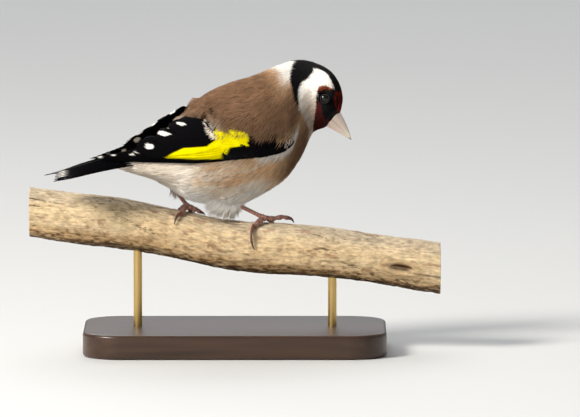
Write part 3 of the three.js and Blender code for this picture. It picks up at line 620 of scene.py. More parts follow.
EYES = {name: eye_of(name) for name in ("eye_right", "eye_left")}
EYE_WAY = {"eye_right": -1.0, "eye_left": 1.0}
eye_axis = {}
for name, (middle, radius) in EYES.items():
    tt, aa = np.meshgrid(np.linspace(13.4, 15.4, 81), EYE_WAY[name] * -np.linspace(50, 95, 91),
                         indexing="ij")
    near = np.linalg.norm(to_row(body(tt, aa)) - middle, axis=-1)
    k = np.unravel_index(near.argmin(), near.shape)
    slope = outward(tt[k], aa[k]) * OUT_SIGN
    out_way = turn_head(np.array([NECK_X, EYE_WAY[name], 0.0])) - np.array([NECK_X, 0, 0])
    eye_axis[name] = unit(to_row(unit(slope + out_way)) - to_row(np.zeros(3)))
    print(name, "at t, angle", np.round([tt[k], aa[k]], 2), "radius", round(radius, 2))


def near_eye(p):
    """How far points lie from the nearer eye's line of sight, and how far out along it, in mm."""
    off, ahead = np.full(p.shape[:-1], 99.0), np.zeros(p.shape[:-1])
    for name, (middle, _) in EYES.items():
        v = p - middle
        along = v @ eye_axis[name]
        d = np.linalg.norm(v - along[..., None] * eye_axis[name], axis=-1)
        ours = (d < off) & (along > -3)
        off, ahead = np.where(ours, d, off), np.where(ours, along, ahead)
    return off, ahead


def skin_point(t, angle):
    """The outer form less the coat's depth, pressed in round each eye, in the row frame."""
    past = t - feather_end((angle + 180) % 360 - 180)
    p = to_row(body(t, angle, -depth(t) - 1.3 * smooth(-0.15, 0.6, past)))
    off, _ = near_eye(p)
    for name, (middle, _) in EYES.items():
        mine = np.linalg.norm(p - middle, axis=-1) < 4
        press = 1.7 * (1 - smooth(1.1, 2.1, off)) * mine
        p = p - press[..., None] * eye_axis[name]
    return p


rows, columns = 250, 176
t_rows = np.linspace(0, 17, rows)
angles = np.arange(columns) * 360 / columns - 180
tt, aa = np.meshgrid(t_rows, angles, indexing="ij")
points, faces = closed_rings(skin_point(tt, aa))
# The skin takes the plumage's colours at 0.75: painted shade where it shows between the feathers.
tint = np.concatenate([plumage(tt, aa).reshape(-1, 3) * 0.75,
                       plumage(np.array([0.0, 17.0]), np.array([0.0, 0.0]))])


def skin_uv(faces):
    """Each face corner on the unwrap, the last column running on past the seam."""
    out = []
    for g in faces:
        row, column = np.minimum(g // columns, rows - 1), g % columns
        column = np.where((column == 0) & (column.max(1, keepdims=True) == columns - 1), columns, column)
        pole = g >= rows * columns
        column = np.where(pole, column.max(1, keepdims=True), column)
        u = 0.02 + 0.96 * np.where(g == rows * columns, 0,
                                   np.where(g == rows * columns + 1, 1, row / (rows - 1)))
        out.append(np.stack([u, 0.02 + 0.96 * column / columns], -1).reshape(-1, 2))
    return np.concatenate(out)


piece("skin", points, faces, skin_material, ("head", "neck", "torso", "thigh_right", "thigh_left"),
      tint, skin_uv(faces))

# %% [markdown]
# ## The coat
#
# Each body feather is a small fan of barbs that share one root. A barb is a tapered strand with
# three sides, which stays solid when exported. One way is to paint streaks on the skin, but
# then the outline would be smooth; real barbs break it up as the photo shows. Feathers sit in
# rows round the body, every second row shifted by half a step, as they do on the bird.

# %% Feather fans
def fan_rows(t_from, t_to, gap_along, gap_across):
    """Roots in rows from one t to another: arrays of t and angle. Rows are closer together where
    the feathers are short, and alternate rows are shifted by half a step."""
    t_roots, a_roots, t, k = [], [], t_from, 0
    around = np.linspace(-180, 180, 73)
    while t < t_to:
        ring = body(np.full(73, t), around)
        girth = np.linalg.norm(np.diff(ring, axis=0), axis=1).sum()
        ahead = np.linalg.norm(body(np.full(73, t + 0.1), around) - ring, axis=1).max() * 10
        size = float(coat_length(t, 90.0))
        count = max(8, int(girth / (0.55 * size * gap_across)))
        t_roots.append(np.full(count, t))
        a_roots.append((np.arange(count) + 0.5 * (k % 2)) / count * 360 - 180)
        t += size * gap_along / ahead
        k += 1
    t_all, a_all = np.concatenate(t_roots), np.concatenate(a_roots)
    shift = rng.normal(0, 1, (2, len(t_all)))
    return t_all + 0.014 * shift[0] * coat_length(t_all, 90.0), a_all + shift[1] * 1.1


def coat_length(t, side):
    """How long the feathers are: shortest on the face, longest on the flanks and tail coverts."""
    base = curve([[0, 6.5], [2, 7.5], [5, 7.4], [9, 6.4], [11, 4.4], [12, 3.2], [13, 2.4], [14.5, 1.7],
                  [17, 1.1]], t)
    return base[..., 0] * (1 + 0.2 * smooth(100, 150, np.abs(side)))


SHARES = np.array([0.0, 0.5, 1.0])  # the places along a strand: root, middle and tip
TEMPLATE = np.array([f for a, b in ((0, 1), (1, 2), (2, 0))
                     for f in ((a, b, b + 3), (a, b + 3, a + 3), (a + 3, b + 3, 6))]
                    + [(0, 2, 1)])
STRAND_POINTS = TEMPLATE.max() + 1
HALF_WIDTHS = np.array([0.45, 0.66])  # at root and middle, as shares of the gap between two barbs
PATCH = 0.003  # the size of each strand's place on the unwrap


def strands(centre, out, half, height):
    """Points (s, 7, 3) of tapered strands along centre lines (s, 3, 3): two lower edges and a
    raised ridge at the root and the middle, then the tip."""
    way = unit(np.gradient(centre, axis=1))[:, :2]
    across = unit(np.cross(way, out[:, :2]))
    up = np.cross(across, way)
    mid = centre[:, :2]
    left = mid - across * half[..., None] - up * height[..., None] * 0.4
    right = mid + across * half[..., None] - up * height[..., None] * 0.4
    ridge = mid + up * height[..., None] * 0.6
    rings = np.stack([left, ridge, right], 2).reshape(len(centre), 6, 3)
    return np.concatenate([rings, centre[:, 2:]], 1)


def strand_tint(base, painted_shading):
    """A colour for each of a strand's seven points: base times a factor at root, middle and tip,
    which paints shade at the root, where the feathers overlap, and lightens the tip.
    """
    tint = base[:, None] * np.asarray(painted_shading)[None, :, None]
    return np.repeat(tint, [3, 3, 1], axis=1)


def fan_turn(t, side):
    """How far feathers point down from straight back, in radians: more over the shoulders."""
    high = np.abs(side)
    return (0.10 + 0.62 * bell(high, 66, 26) * bell(t, 9.3, 2.2)
            + 0.28 * bell(high, 60, 30) * bell(t, 6.2, 1.6)
            + 0.16 * bell(high, 125, 26) * smooth(7, 10, t) - 0.1 * smooth(12.5, 14, t)) * np.sign(side)


def grow_fans(t, angle, barbs, lift, ruffle=1.0):
    """Every feather as a fan of barbs that follow the body's own surface backwards, and gather in
    a few points towards the tip. They rise from the skin to lift mm over the outer form."""
    side = (angle + 180) % 360 - 180
    length = coat_length(t, side)
    metric_t = np.linalg.norm(body(t + 0.1, angle) - body(t - 0.1, angle), axis=-1) / 0.2
    metric_a = np.linalg.norm(body(t, angle + 1) - body(t, angle - 1), axis=-1) / 2
    swirl = 0.12 * noise(np.stack([t * 0.8, angle * 0.03, t * 0], -1), 21)
    turn = fan_turn(t, side) + swirl + rng.normal(0, 0.05, len(t)) * ruffle
    tip_t = t - length * 0.9 * np.cos(turn) / metric_t
    tip_a = angle + length * 0.9 * np.sin(turn) / np.maximum(metric_a, 0.02)
    root_at = body(t, angle)
    hidden = under_wing(t, angle) & (root_at[:, 2] > curve(FOLDED, root_at[:, 0])[:, 1] + 2.4)
    rides = ((root_at[:, 2] > curve(COVER, root_at[:, 0])[:, 0] - 0.5)
             | (root_at[:, 0] > FRONT_X)).astype(float)
    stay = ~under_wing(tip_t, tip_a) & ~hidden
    t, angle, side, length, metric_t, metric_a, turn, rides = (
        v[stay] for v in (t, angle, side, length, metric_t, metric_a, turn, rides))
    n = len(t)
    belly = smooth(128, 160, np.abs(side)) * (1 - smooth(9, 11, t)) * smooth(3, 5, t)
    k = (np.arange(barbs) - (barbs - 1) / 2) / max((barbs - 1) / 2, 1)
    width = 0.55 * length
    size = length * rng.uniform(0.85, 1.15, n) * (1 + 0.25 * belly)
    s = SHARES
    share = k[None, :, None] + rng.normal(0, 0.12, (n, barbs, 1))
    gather = np.round(share * 1.6 + rng.uniform(-0.4, 0.4, (n, 1, 1))) / 1.6
    share = share + (gather - share) * 0.55 * s**2
    reach = size[:, None, None] * (1 - 0.3 * k[None, :, None] ** 2) * rng.uniform(0.82, 1.1, (n, barbs, 1))
    aside = width[:, None, None] / 2 * share * (0.16 + 0.84 * np.sin(np.minimum(s, 0.8) / 0.8 * np.pi / 2))
    back = reach * s
    bend = (turn + rng.normal(0, 0.06, n) * ruffle)[:, None, None] * (0.7 + 0.3 * s)
    along = -(back * np.cos(bend) - aside * np.sin(bend))
    across = back * np.sin(bend) + aside * np.cos(bend)
    tt = np.clip(t[:, None, None] + along / metric_t[:, None, None], -0.35, 17)
    aa = angle[:, None, None] + across / np.maximum(metric_a, 0.02)[:, None, None]
    top = lift + (np.clip(rng.normal(0, 0.12, (n, 1, 1)), -0.2, 0.3)
                  + rng.normal(0, 0.07, (n, barbs, 1))) * ruffle
    stray = rng.uniform(0, 1, (n, barbs, 1)) > 0.93
    top = top + 0.35 * stray * rng.uniform(0.3, 1, (n, barbs, 1)) * np.minimum(length / 4, 1)[:, None, None]
    top = top + 0.35 * belly[:, None, None] * rng.uniform(0, 1, (n, barbs, 1))
    rise = -depth(t)[:, None, None] * (1 - s) ** 1.3 + s * top - 0.12 * (k**2)[None, :, None] * s
    rise = rise + over_wing(tt, aa) * (0.55 + 0.45 * s) * rides[:, None, None]
    local = body(tt, aa, rise)
    out = outward(tt, aa) * OUT_SIGN
    centre = to_row(local).reshape(-1, 3, 3)
    out = (to_row(local + out) - to_row(local)).reshape(-1, 3, 3)
    pitch = np.repeat(width / barbs, barbs)
    half = np.maximum(pitch, 0.075)[:, None] * HALF_WIDTHS
    tall = np.repeat(0.06 + 0.014 * length, barbs)[:, None] * np.ones(2)
    edge = 0.16 if lift < 0.08 else 0.25
    t_mark = tt[..., 1:].mean(-1) + (rng.normal(0, edge, (n, 1)) + rng.normal(0, edge, (n, barbs))) / MM_T
    a_mark = aa[..., 1:].mean(-1) + rng.normal(0, edge, (n, barbs)) / np.maximum(metric_a, 0.05)[:, None]
    base = plumage(t_mark.ravel(), a_mark.ravel(), 0.16)
    place = local[..., 1:, :].mean(-2).reshape(-1, 3)
    fringe = bell(place[:, 0], -9.6, 2.4) * bell(place[:, 2], 11.6, 2.6) * (np.abs(place[:, 1]) > 8)
    base = lay(base, CREAM, 0.85 * fringe)
    fan_shade = np.clip(rng.normal(1, 0.12, (n, 1)), 0.7, 1.3) * (1 + 0.16 * (np.abs(k)[None] - 0.35))
    base = base * (fan_shade * rng.normal(1, 0.1, (n, barbs))).ravel()[:, None]
    root = unwrap(np.repeat(t, barbs), np.repeat(angle, barbs))
    off, ahead = near_eye(centre[:, 2])
    off0, _ = near_eye(centre[:, 0])
    keep = ~(((off < 1.95) | (off0 < 2.0)) & (np.abs(ahead) < 5))
    end = feather_end(((aa[..., 0] + 180) % 360 - 180)).ravel()
    keep &= tt[..., 0].ravel() < end + rng.normal(0, 0.07, len(end))
    # Painted shade at the roots of the barbs, lighter tips.
    return strands(centre, out, half, tall)[keep], strand_tint(base[keep], [0.55, 0.93, 1.14]), root[keep]


def coat_pieces(name, points, tint, root, material, slot, most=18000):
    """Joined meshes of few enough strands each, with each strand a tiny patch on the unwrap."""
    spot = np.array([[c / 2, r * 0.5] for r in range(2) for c in range(3)] + [[0.5, 1]])
    spot = spot * PATCH - PATCH / 2
    flip = signed_volume(points[0], TEMPLATE) < 0
    cuts = np.array_split(np.arange(len(points)), max(1, math.ceil(len(points) / most)))
    for k, part in enumerate(cuts):
        uv = np.clip(root[part][:, None] + spot[None], 0, 1)
        one = TEMPLATE[:, ::-1] if flip else TEMPLATE
        faces = (one[None] + (np.arange(len(part)) * STRAND_POINTS)[:, None, None]).reshape(-1, 3)
        label = f"{name}_{k + 1}" if len(cuts) > 1 else name
        piece(label, points[part].reshape(-1, 3), faces, material, (),
              tint[part].reshape(-1, 3), uv.reshape(-1, 2)[faces.ravel()])


REGIONS = {  # t from, t to, barbs, row gap, gap across, lift, ruffle
    "coat_rear": (0.35, 4.6, 13, 0.27, 0.40, 0.1, 1.0),
    "coat_body": (4.6, 11.2, 15, 0.25, 0.34, 0.1, 1.0),
    "coat_neck": (11.2, 13.2, 9, 0.24, 0.33, 0.06, 0.8),
    "coat_head": (13.2, 16.95, 6, 0.22, 0.31, 0.04, 0.75),
}
for name, (t0, t1, barbs, gap_along, gap_across, lift, ruffle) in REGIONS.items():
    t, angle = fan_rows(t0, t1, gap_along, gap_across)
    made = grow_fans(t, angle, barbs, lift, ruffle)
    print(name, "feathers:", len(t), "strands:", len(made[0]))
    coat_pieces(name, *made, coat_material, "face_plumage" if name == "coat_head" else "brown_plumage")

# %% [markdown]
# ## Loose feathers at the thighs
#
# Where the legs leave the belly the photo shows long white feathers that hang free and end in
# points. They are the same strands, gathered in locks, each lock with one tip.

# %% Thigh locks
TUFTS = {
    "right": {"at": [0.6, -7.4, -16.0], "size": [6.4, 3.6], "place": (7.15, 153), "tips": [
        [-9.4, -20.6], [-8.6, -22.2], [-7.4, -23.6], [-6.0, -23.4], [-4.8, -24.6], [-3.4, -24.4],
        [-2.0, -25.4], [-0.6, -25.0], [0.8, -25.8], [2.2, -25.0], [3.6, -24.2], [4.8, -22.4],
        [5.6, -20.4]]},
    "left": {"at": [-14.0, 7.2, -14.8], "size": [4.4, 3.2], "place": (5.05, -151), "tips": [
        [-17.4, -19.2], [-16.2, -20.4], [-14.8, -20.2], [-13.4, -21.0], [-12.0, -20.2]]},
}


def tuft(at, size, place, tips, each=44):
    """Locks from a patch on the flank down to their tips, each a bundle of strands that starts
    wide, bows outwards and closes to a point."""
    tips = np.array(tips)
    n = len(tips)
    share = np.linspace(0, 1, n)[:, None]
    way = np.sign(at[1])
    root = np.stack(np.broadcast_arrays(at[0] + (share - 0.5) * size[0] * 1.2 + 0.8
                                        + rng.normal(0, 0.9, (n, each)),
                                        at[1] + way * rng.normal(0.4, 0.5, (n, each)),
                                        at[2] + 2.2 + rng.normal(0, 1.2, (n, each))), -1)
    tip_y = at[1] + way * (0.9 - 1.6 * np.abs(share - 0.5)) + rng.normal(0, 0.25, (n, each))
    tip = np.stack(np.broadcast_arrays(tips[:, :1] + rng.normal(-0.3, 0.55, (n, each)), tip_y,
                                       tips[:, 1:] - 0.3 + rng.exponential(1.1, (n, each))), -1)
    s = SHARES[None, None, :, None]
    bow = np.array([0.0, way, 0.0]) * 1.5 + np.array([-0.6, 0, 0])
    line = root[:, :, None] * (1 - s) + tip[:, :, None] * s + bow * (s * (1 - s)) * 2.2
    centre = to_row(line).reshape(-1, 3, 3)
    out = np.broadcast_to(to_row(np.array([0.0, way, 0.0])) - to_row(np.zeros(3)), centre.shape)
    half = np.broadcast_to(np.array([0.13, 0.11]), (n * each, 2))
    base = lay(np.broadcast_to(colour(250, 247, 242), (n * each, 3)), CREAM, rng.uniform(0, 0.3, n * each))
    base = base * rng.normal(0.98, 0.07, (n * each, 1))
    roots = unwrap(place[0] + (share - 0.5) * 1.2 + rng.normal(0, 0.1, (n, each)),
                   place[1] + rng.normal(0, 3, (n, each))).reshape(-1, 2)
    # Painted shade at the roots of the strands, lighter tips.
    return strands(centre, out, half, half * 0.9), strand_tint(base, [0.8, 1.0, 1.04]), roots


def bristles(count=150):
    """Short stiff feathers that point forwards over the root of the bill, on both sides."""
    side = rng.uniform(8, 76, count)
    way = rng.choice([-1.0, 1.0], count)
    t0 = feather_end(side) - rng.uniform(0.02, 0.2, count)
    s = SHARES
    t = t0[:, None] + s * rng.uniform(0.16, 0.42, (count, 1))
    angle = (side * way)[:, None] + s * rng.normal(0, 5, (count, 1))
    local = body(t, angle, -0.25 + 0.2 * np.sin(np.pi * s) - 0.75 * s**2)
    out = outward(t, angle) * OUT_SIGN
    centre = to_row(local)
    half = np.broadcast_to(np.array([0.07, 0.055]), (count, 2))
    base = lay(np.broadcast_to(BLACK, (count, 3)), RUST * 0.5, rng.uniform(0, 1, count))
    # Painted shade at the roots of the bristles, lighter tips.
    return (strands(centre, to_row(local + out) - to_row(local), half, half),
            strand_tint(base, [0.8, 1, 1.2]),
            unwrap(t0, side * way))


coat_pieces("bill_bristles", *bristles(), coat_material, "face_plumage")

for word, t_ in TUFTS.items():
    coat_pieces(f"tuft_{word}", *tuft(**t_), coat_material, "thigh_down")

# %% [markdown]
# ## Eyes
#
# The eyeball keeps the place and size of its node. Its dark iris and the black pupil are drawn by
# how far each point lies from the line of sight, on a smooth, glossy surface. A beaded ring of skin
# rims it, as on the real bird, and hides where the ball meets the feathers.

# %% Eyeballs and lids
def frame_of(axis):
    """Two ways square to an axis."""
    a = unit(np.cross(axis, np.array([0.0, 0.0, 1.0])))
    return a, np.cross(axis, a)


for name, (middle, radius) in EYES.items():
    axis = eye_axis[name]
    a, b = frame_of(axis)
    fall, spin = np.meshgrid(np.radians(np.linspace(2, 178, 60)),
                             np.linspace(0, 2 * np.pi, 72, endpoint=False),
                             indexing="ij")
    bulge = 1 + 0.06 * bell(np.degrees(fall), 0, 34)
    ball = middle + radius * bulge[..., None] * (
        np.cos(fall)[..., None] * axis + np.sin(fall)[..., None] * (np.cos(spin)[..., None] * a
                                                                     + np.sin(spin)[..., None] * b))
    points, faces = closed_rings(ball)
    off = np.linalg.norm(np.cross(points - middle, axis), axis=-1)
    iris = colour(17, 11, 8) * (0.8 + 0.2 * np.cos(40 * np.arctan2((points - middle) @ b,
                                                                   (points - middle) @ a)))[:, None]
    tint = lay(np.broadcast_to(colour(3, 3, 3), points.shape), iris, smooth(0.85, 0.95, off))
    tint = lay(tint, colour(8, 7, 8), smooth(1.3, 1.5, off))
    piece(name + "_ball", points, faces, eye_material, (name,), tint)
    around, tube = np.meshgrid(np.linspace(0, 2 * np.pi, 144, endpoint=False),
                               np.linspace(0, 2 * np.pi, 14, endpoint=False), indexing="ij")
    bead = 1 + 0.1 * np.cos(around * 34) * (np.cos(tube) > -0.3)
    ring = 1.62 + 0.13 * bead * np.cos(tube)
    lift = radius * 0.66 + 0.18 * bead * np.sin(tube)
    lid = middle + ring[..., None] * (np.cos(around)[..., None] * a + np.sin(around)[..., None] * b) \
        + lift[..., None] * axis
    faces = grid_faces(145, 14)[: 144 * 14] % (144 * 14)
    points = lid.reshape(-1, 3)
    if signed_volume(points, faces) < 0:
        faces = faces[:, ::-1]
    # Painted shade in the grooves between the beads, lighter on their tops.
    shade = 0.85 + 0.15 * np.cos(around * 34).reshape(-1, 1)
    piece(name + "_lid", points, faces, lid_material, (), colour(58, 54, 53) * shade)

# %% [markdown]
# ## Bill
#
# Each half of the bill is a half oval that tapers along the mouth line to a point. The lower half
# sits just inside the edge of the upper one, as real mandibles close, so that the mouth shows as a
# line and not as a gap. The horn is pale with a darker ridge and tip, and painted shade darkens the
# mouth line.

# %% Mandibles
BILL = {"tip": (47.9, 4.7), "root": (39.9, 13.2), "culmen": 3.8, "gonys": 4.5, "half": 3.1}


def mandible(side, steps=56, arc=40):
    """Half ovals whose height and width shrink towards the tip, the ridge bowed like a finch's."""
    root, tip = np.array(BILL["root"]), np.array(BILL["tip"])
    along = tip - root
    length = np.linalg.norm(along) - (0.5 if side < 0 else 0)
    along = along / np.linalg.norm(tip - root)
    up = np.array([-along[1], along[0]])
    t = (np.linspace(0, 1, steps) ** 0.85)[:, None]
    a = np.pi * np.linspace(0, 1, arc)[None]
    high = 0.1 + (BILL["culmen"] if side > 0 else BILL["gonys"]) * (1 - t) ** (0.84 if side > 0 else 0.9)
    wide = (0.08 + BILL["half"] * (1 - t) ** 0.93) * (1.0 if side > 0 else 0.95)
    mouth = 0.3 * np.sin(np.pi * t) + (0.02 if side > 0 else 0.1 * (1 - t))
    h = mouth + side * high * np.sin(a) ** 0.92
    y = wide * np.cos(a)
    x = root[0] + along[0] * length * t + up[0] * h
    z = root[1] + along[1] * length * t + up[1] * h
    p = np.stack(np.broadcast_arrays(x, y, z), -1)
    rings = to_row(turn_head(p))
    return rings, np.broadcast_to(t, h.shape), np.broadcast_to(np.sin(a), h.shape)


for name, side in (("bill_upper", 1), ("bill_lower", -1)):
    rings, t, ridge = mandible(side)
    points, faces = closed_rings(rings)
    flat = (t.ravel(), ridge.ravel())
    pale, pink, dark = colour(250, 238, 220), colour(242, 210, 200), colour(58, 46, 44)
    tint = lay(np.broadcast_to(pale, (len(flat[0]), 3)), pink, (1 - smooth(0.3, 0.75, flat[0])) * 0.5)
    tint = lay(tint, dark, smooth(0.86, 1.0, flat[0]) * 0.75)
    tint = lay(tint, dark, smooth(0.9, 1.0, flat[1]) * (0.55 if side > 0 else 0.0)
               * smooth(0.1, 0.8, flat[0]))
    # Painted shade along the mouth line, where the two halves meet.
    tint = lay(tint, colour(120, 86, 66), (1 - smooth(0.0, 0.12, flat[1])) * 0.4)
    veins = noise(np.stack([flat[0] * 5, flat[1] * 9, flat[0] * 0], -1), 31)
    tint = lay(tint, colour(226, 186, 176), 0.35 * np.clip(veins, 0, 1))
    tint = lay(tint, colour(236, 214, 150), 0.3 * np.clip(-veins, 0, 1))
    tint = np.concatenate([tint, tint[:1], tint[-1:]])
    piece(name + "_horn", points, faces, bill_material, (name,), tint)

# %% [markdown]
# ## Wings
#
# A folded wing is a stack of feathers on a curved wall. The wall is a function: how far out the
# wing stands at a place (x, z) of the side view. Each feather is a thin sheet on that wall, from
# its root to its tip, and each lies a little further out than the one below. Colours are given in
# the side view too, because the yellow bar runs across many feathers.

# %% Feather sheets on the folded wing
def vane_outline(u, pointed):
    """Half width along a feather: narrow at the root, widest past the middle, round or pointed."""
    return (np.sqrt(smooth(-0.3, 0.32, u))
            * (1 - smooth(mix(0.86, 0.6, pointed), 1.0, u) ** mix(2.2, 1.3, pointed)) ** 0.5)


def wing_feathers(tier, side):
    """Grids (feather, along, across) of one tier: points, ways out, side-view places and shares."""
    count = tier["count"]
    k = np.linspace(0, 1, count)[:, None, None] ** tier.get("crowd", 1.0)
    u, v = (np.linspace(a, 1, n).reshape(shape) for a, n, shape in
            ((0, tier["grid"][0], (1, -1, 1)), (-1, tier["grid"][1], (1, 1, -1))))
    roots, tips = np.array(tier["roots"], float), np.array(tier["tips"], float)
    root = roots[0] + (roots[1] - roots[0]) * k[..., None]
    tip = tips[0] + (tips[1] - tips[0]) * k[..., None]
    d = tip - root
    length = np.linalg.norm(d, axis=-1)
    across = np.stack([-d[..., 1], d[..., 0]], -1) / length[..., None]
    wide = np.asarray(tier["wide"]) * (1 + tier.get("grow", 0.0) * (k - 0.5))
    w = wide * vane_outline(u, tier["pointed"]) * v
    split = 0.012 * np.sin(37 * v + 9 * k) * smooth(0.7, 1.0, u)
    rounded = u - 0.5 * wide / length * v**2 * smooth(0.45, 1, u) * (1 - 0.5 * tier["pointed"]) + split
    bend = tier.get("bend", 0.0) * length * 4 * u * (1 - u)
    x = root[..., 0] + d[..., 0] * rounded + across[..., 0] * (w + bend)
    z = root[..., 1] + d[..., 1] * rounded + across[..., 1] * (w + bend)
    lift = tier["lift"][0] + (tier["lift"][1] - tier["lift"][0]) * k
    lift = lift * np.ones_like(w) - 0.3 * (1 - smooth(0, 0.3, u)) + 0.12 * (1 - v**2) + 0.1 * v
    point, out = on_wing(x, z, lift, side)
    barb = (u * length / 0.24 + np.abs(v) * wide / 0.2) * np.pi
    return (point, out, x, z, *(q * np.ones_like(w) for q in (u, v, k, barb)))


TIERS = {
    "primaries": {"grid": (58, 9), "count": 8, "roots": [[-3, 1.4], [-6, 3.6]],
                  "tips": [[-51.8, -0.9], [-38.6, 2.0]],
                  "wide": 1.9, "pointed": 0.8, "lift": [-0.45, 0.15]},
    "secondaries": {"grid": (48, 13), "count": 5, "roots": [[-5, 4.0], [-7, 7.4]],
                    "tips": [[-38.2, 2.0], [-35.6, 4.6]],
                    "wide": 2.2, "pointed": 0.3, "lift": [0.2, 0.45]},
    "tertials": {"grid": (64, 25), "count": 3, "roots": [[-7, 7.4], [-10, 11.9]],
                 "tips": [[-36.8, 2.0], [-24.4, 10.2]],
                 "wide": 2.9, "pointed": 0.45, "lift": [0.5, 0.85]},
    "primary_coverts": {"grid": (22, 7), "count": 6, "roots": [[11, 2.6], [9, 5.6]],
                        "tips": [[-5.8, 1.3], [-3.6, 4.8]],
                        "wide": 1.2, "pointed": 0.55, "lift": [0.3, 0.75]},
    "greater_coverts": {"grid": (22, 9), "count": 11, "roots": [[4, 3.8], [-5, 13.0]],
                        "tips": [[-7.0, 3.8], [-12.4, 13.2]],
                        "wide": 1.5, "pointed": 0.2, "lift": [0.6, 0.95]},
    "median_coverts": {"grid": (18, 9), "count": 9, "roots": [[9, 6.0], [0, 13.0]],
                       "tips": [[2.2, 5.6], [-7.4, 13.6]],
                       "wide": 1.6, "pointed": 0.15, "lift": [0.8, 1.05]},
    "alula": {"grid": (22, 7), "count": 3, "roots": [[18.5, 3.8], [17.5, 5.8]],
              "tips": [[4.4, 1.9], [6.4, 3.9]],
              "wide": 1.4, "pointed": 0.5, "lift": [0.6, 0.85]},
    "lesser_coverts_a": {"grid": (16, 7), "count": 11, "roots": [[21, 5.6], [12, 11.4]],
                         "tips": [[14.4, 3.4], [3.4, 9.4]],
                         "wide": 1.5, "pointed": 0.1, "lift": [0.3, 0.5]},
    "lesser_coverts_b": {"grid": (16, 7), "count": 10, "roots": [[24.6, 8.4], [19.4, 14.2]],
                         "tips": [[18.4, 4.8], [10.4, 10.8]],
                         "wide": 1.5, "pointed": 0.1, "lift": [0.4, 0.6]},
}
PANEL = [(-27.4, -0.4), (-23.6, 2.7), (-20, 4.5), (-12, 5.5), (-9.4, 7.8), (-9.2, 11.4), (-3, 13.6),
         (1.6, 12.0), (3.1, 9.4), (3.0, 5.6), (-3.7, 5.2), (-4.7, 3.4), (-5.6, 0.7)]
SPOTS = [  # x, z, half length, half width of the white marks, and the tier that they are on
    (-31.6, 4.1, 1.5, 0.85, ""), (-26.2, 8.4, 2.1, 0.55, "tertials"), (-19.7, 11.8, 1.5, 0.36, "tertials"),
    (-35.9, 1.9, 1.0, 0.45, "secondaries"), (-37.6, 0.9, 0.8, 0.4, "primaries"),
    (-49.0, -0.6, 0.9, 0.4, "primaries"),
    (-44.2, 0.4, 0.7, 0.35, "primaries"), (-29.7, 3.2, 0.8, 0.35, "secondaries"),
]
FAR_SPOTS = [(-18.3, 13.0, 1.5, 0.7, ""), (-25.3, 9.6, 1.7, 0.8, ""), (-31.2, 6.8, 1.5, 0.8, ""),
             (-36.0, 4.9, 1.2, 0.8, ""), (-41.0, 3.2, 1.2, 0.7, "")]


def in_panel(x, z, soft):
    """1 inside the yellow panel of the side view."""
    return inside(np.array(PANEL) / [MM_T, MM_A], x / MM_T, z / MM_A, soft)


def wing_colour(name, x, z, u, v, k, side=-1):
    """Black, yellow where the bar runs, and white marks at the ends of the long feathers."""
    step = np.floor(k * 97.3 + 0.5)
    ragged = 0.35 * np.sin(step * 12.9) + 0.12 * np.sin(v * 9 + step)
    tint = np.broadcast_to(BLACK, (*x.shape, 3)) * (1 + 0.7 * smooth(0.8, 1, np.abs(v)))[..., None]
    if name in ("primaries", "secondaries", "tertials", "greater_coverts", "median_coverts"):
        gold = YELLOW * (1 - 0.14 * bell(np.abs(v), 1, 0.2) + 0.1 * np.sin(u * 40) * 0.3)[..., None]
        tint = tint + (gold - tint) * in_panel(x + ragged, z, 0.2)[..., None]
        low = curve(FOLDED, x)[..., 1]
        tint = lay(tint, BLACK, 1 - smooth(0.1, 0.3, z - low))
    for sx, sz, long, wide, tier in SPOTS + (FAR_SPOTS if side > 0 else []):
        if tier in (name, "") and name != "median_coverts":
            a, b = (x - sx) + (z - sz) * 0.12, (z - sz) - (x - sx) * 0.12
            off = np.hypot(a / long, b / wide) + 0.1 * np.sin(a * 2.2 + sx) + 0.06 * np.sin(b * 11 + sx)
            tint = lay(tint, WHITE, 1 - smooth(0.92, 1.06, off))
    return tint


WRIST = [(-4.8, 1.6), (-3.4, 4.8), (3.4, 5.0), (4.6, 8.4), (9, 8.2), (14, 9.8), (20, 13.0), (23.6, 14.8),
         (25.2, 12.4), (23.6, 8.8), (20, 5.4), (16, 3.2), (12.1, 2.0), (3.8, 1.5)]
EDGE = [(23.2, 10.4), (22.6, 8.4), (20.8, 5.8), (18.6, 4.0), (19.0, 5.8), (20.8, 8.6), (21.6, 10.6)]
DOWN = [(-6.4, 9.8), (-7.2, 13.2), (-10.0, 14.6), (-9.8, 12.0), (-8.2, 9.4)]
LOBE = [(-5.5, 5.6), (-6.0, 11.8), (0.6, 11.8), (4.6, 9.2), (7.0, 6.0), (2, 5.4)]


def scatter(shape, gap):
    """Roots in staggered rows inside a polygon of the side view."""
    low, high = np.min(shape, 0), np.max(shape, 0)
    x, z = np.meshgrid(np.arange(low[0], high[0], gap), np.arange(low[1], high[1], gap * 0.85),
                       indexing="ij")
    z = z + 0.42 * gap * (np.round((x - low[0]) / gap) % 2)
    x, z = x + rng.normal(0, 0.12, x.shape) * gap, z + rng.normal(0, 0.12, x.shape) * gap
    stay = inside(np.array(shape) / [MM_T, MM_A], x / MM_T, z / MM_A, 0.05) > 0.5
    return x[stay], z[stay]


def body_place(x, z, side):
    """The t and angle of the body's surface nearest to places of the side view."""
    tt, aa = np.meshgrid(np.linspace(0, 13, 66), np.linspace(0, 175, 60), indexing="ij")
    p = body(tt, aa).reshape(-1, 3)
    near = ((p[None, :, 0] - x[:, None]) ** 2 + (p[None, :, 2] - z[:, None]) ** 2).argmin(1)
    return tt.ravel()[near], -side * aa.ravel()[near]


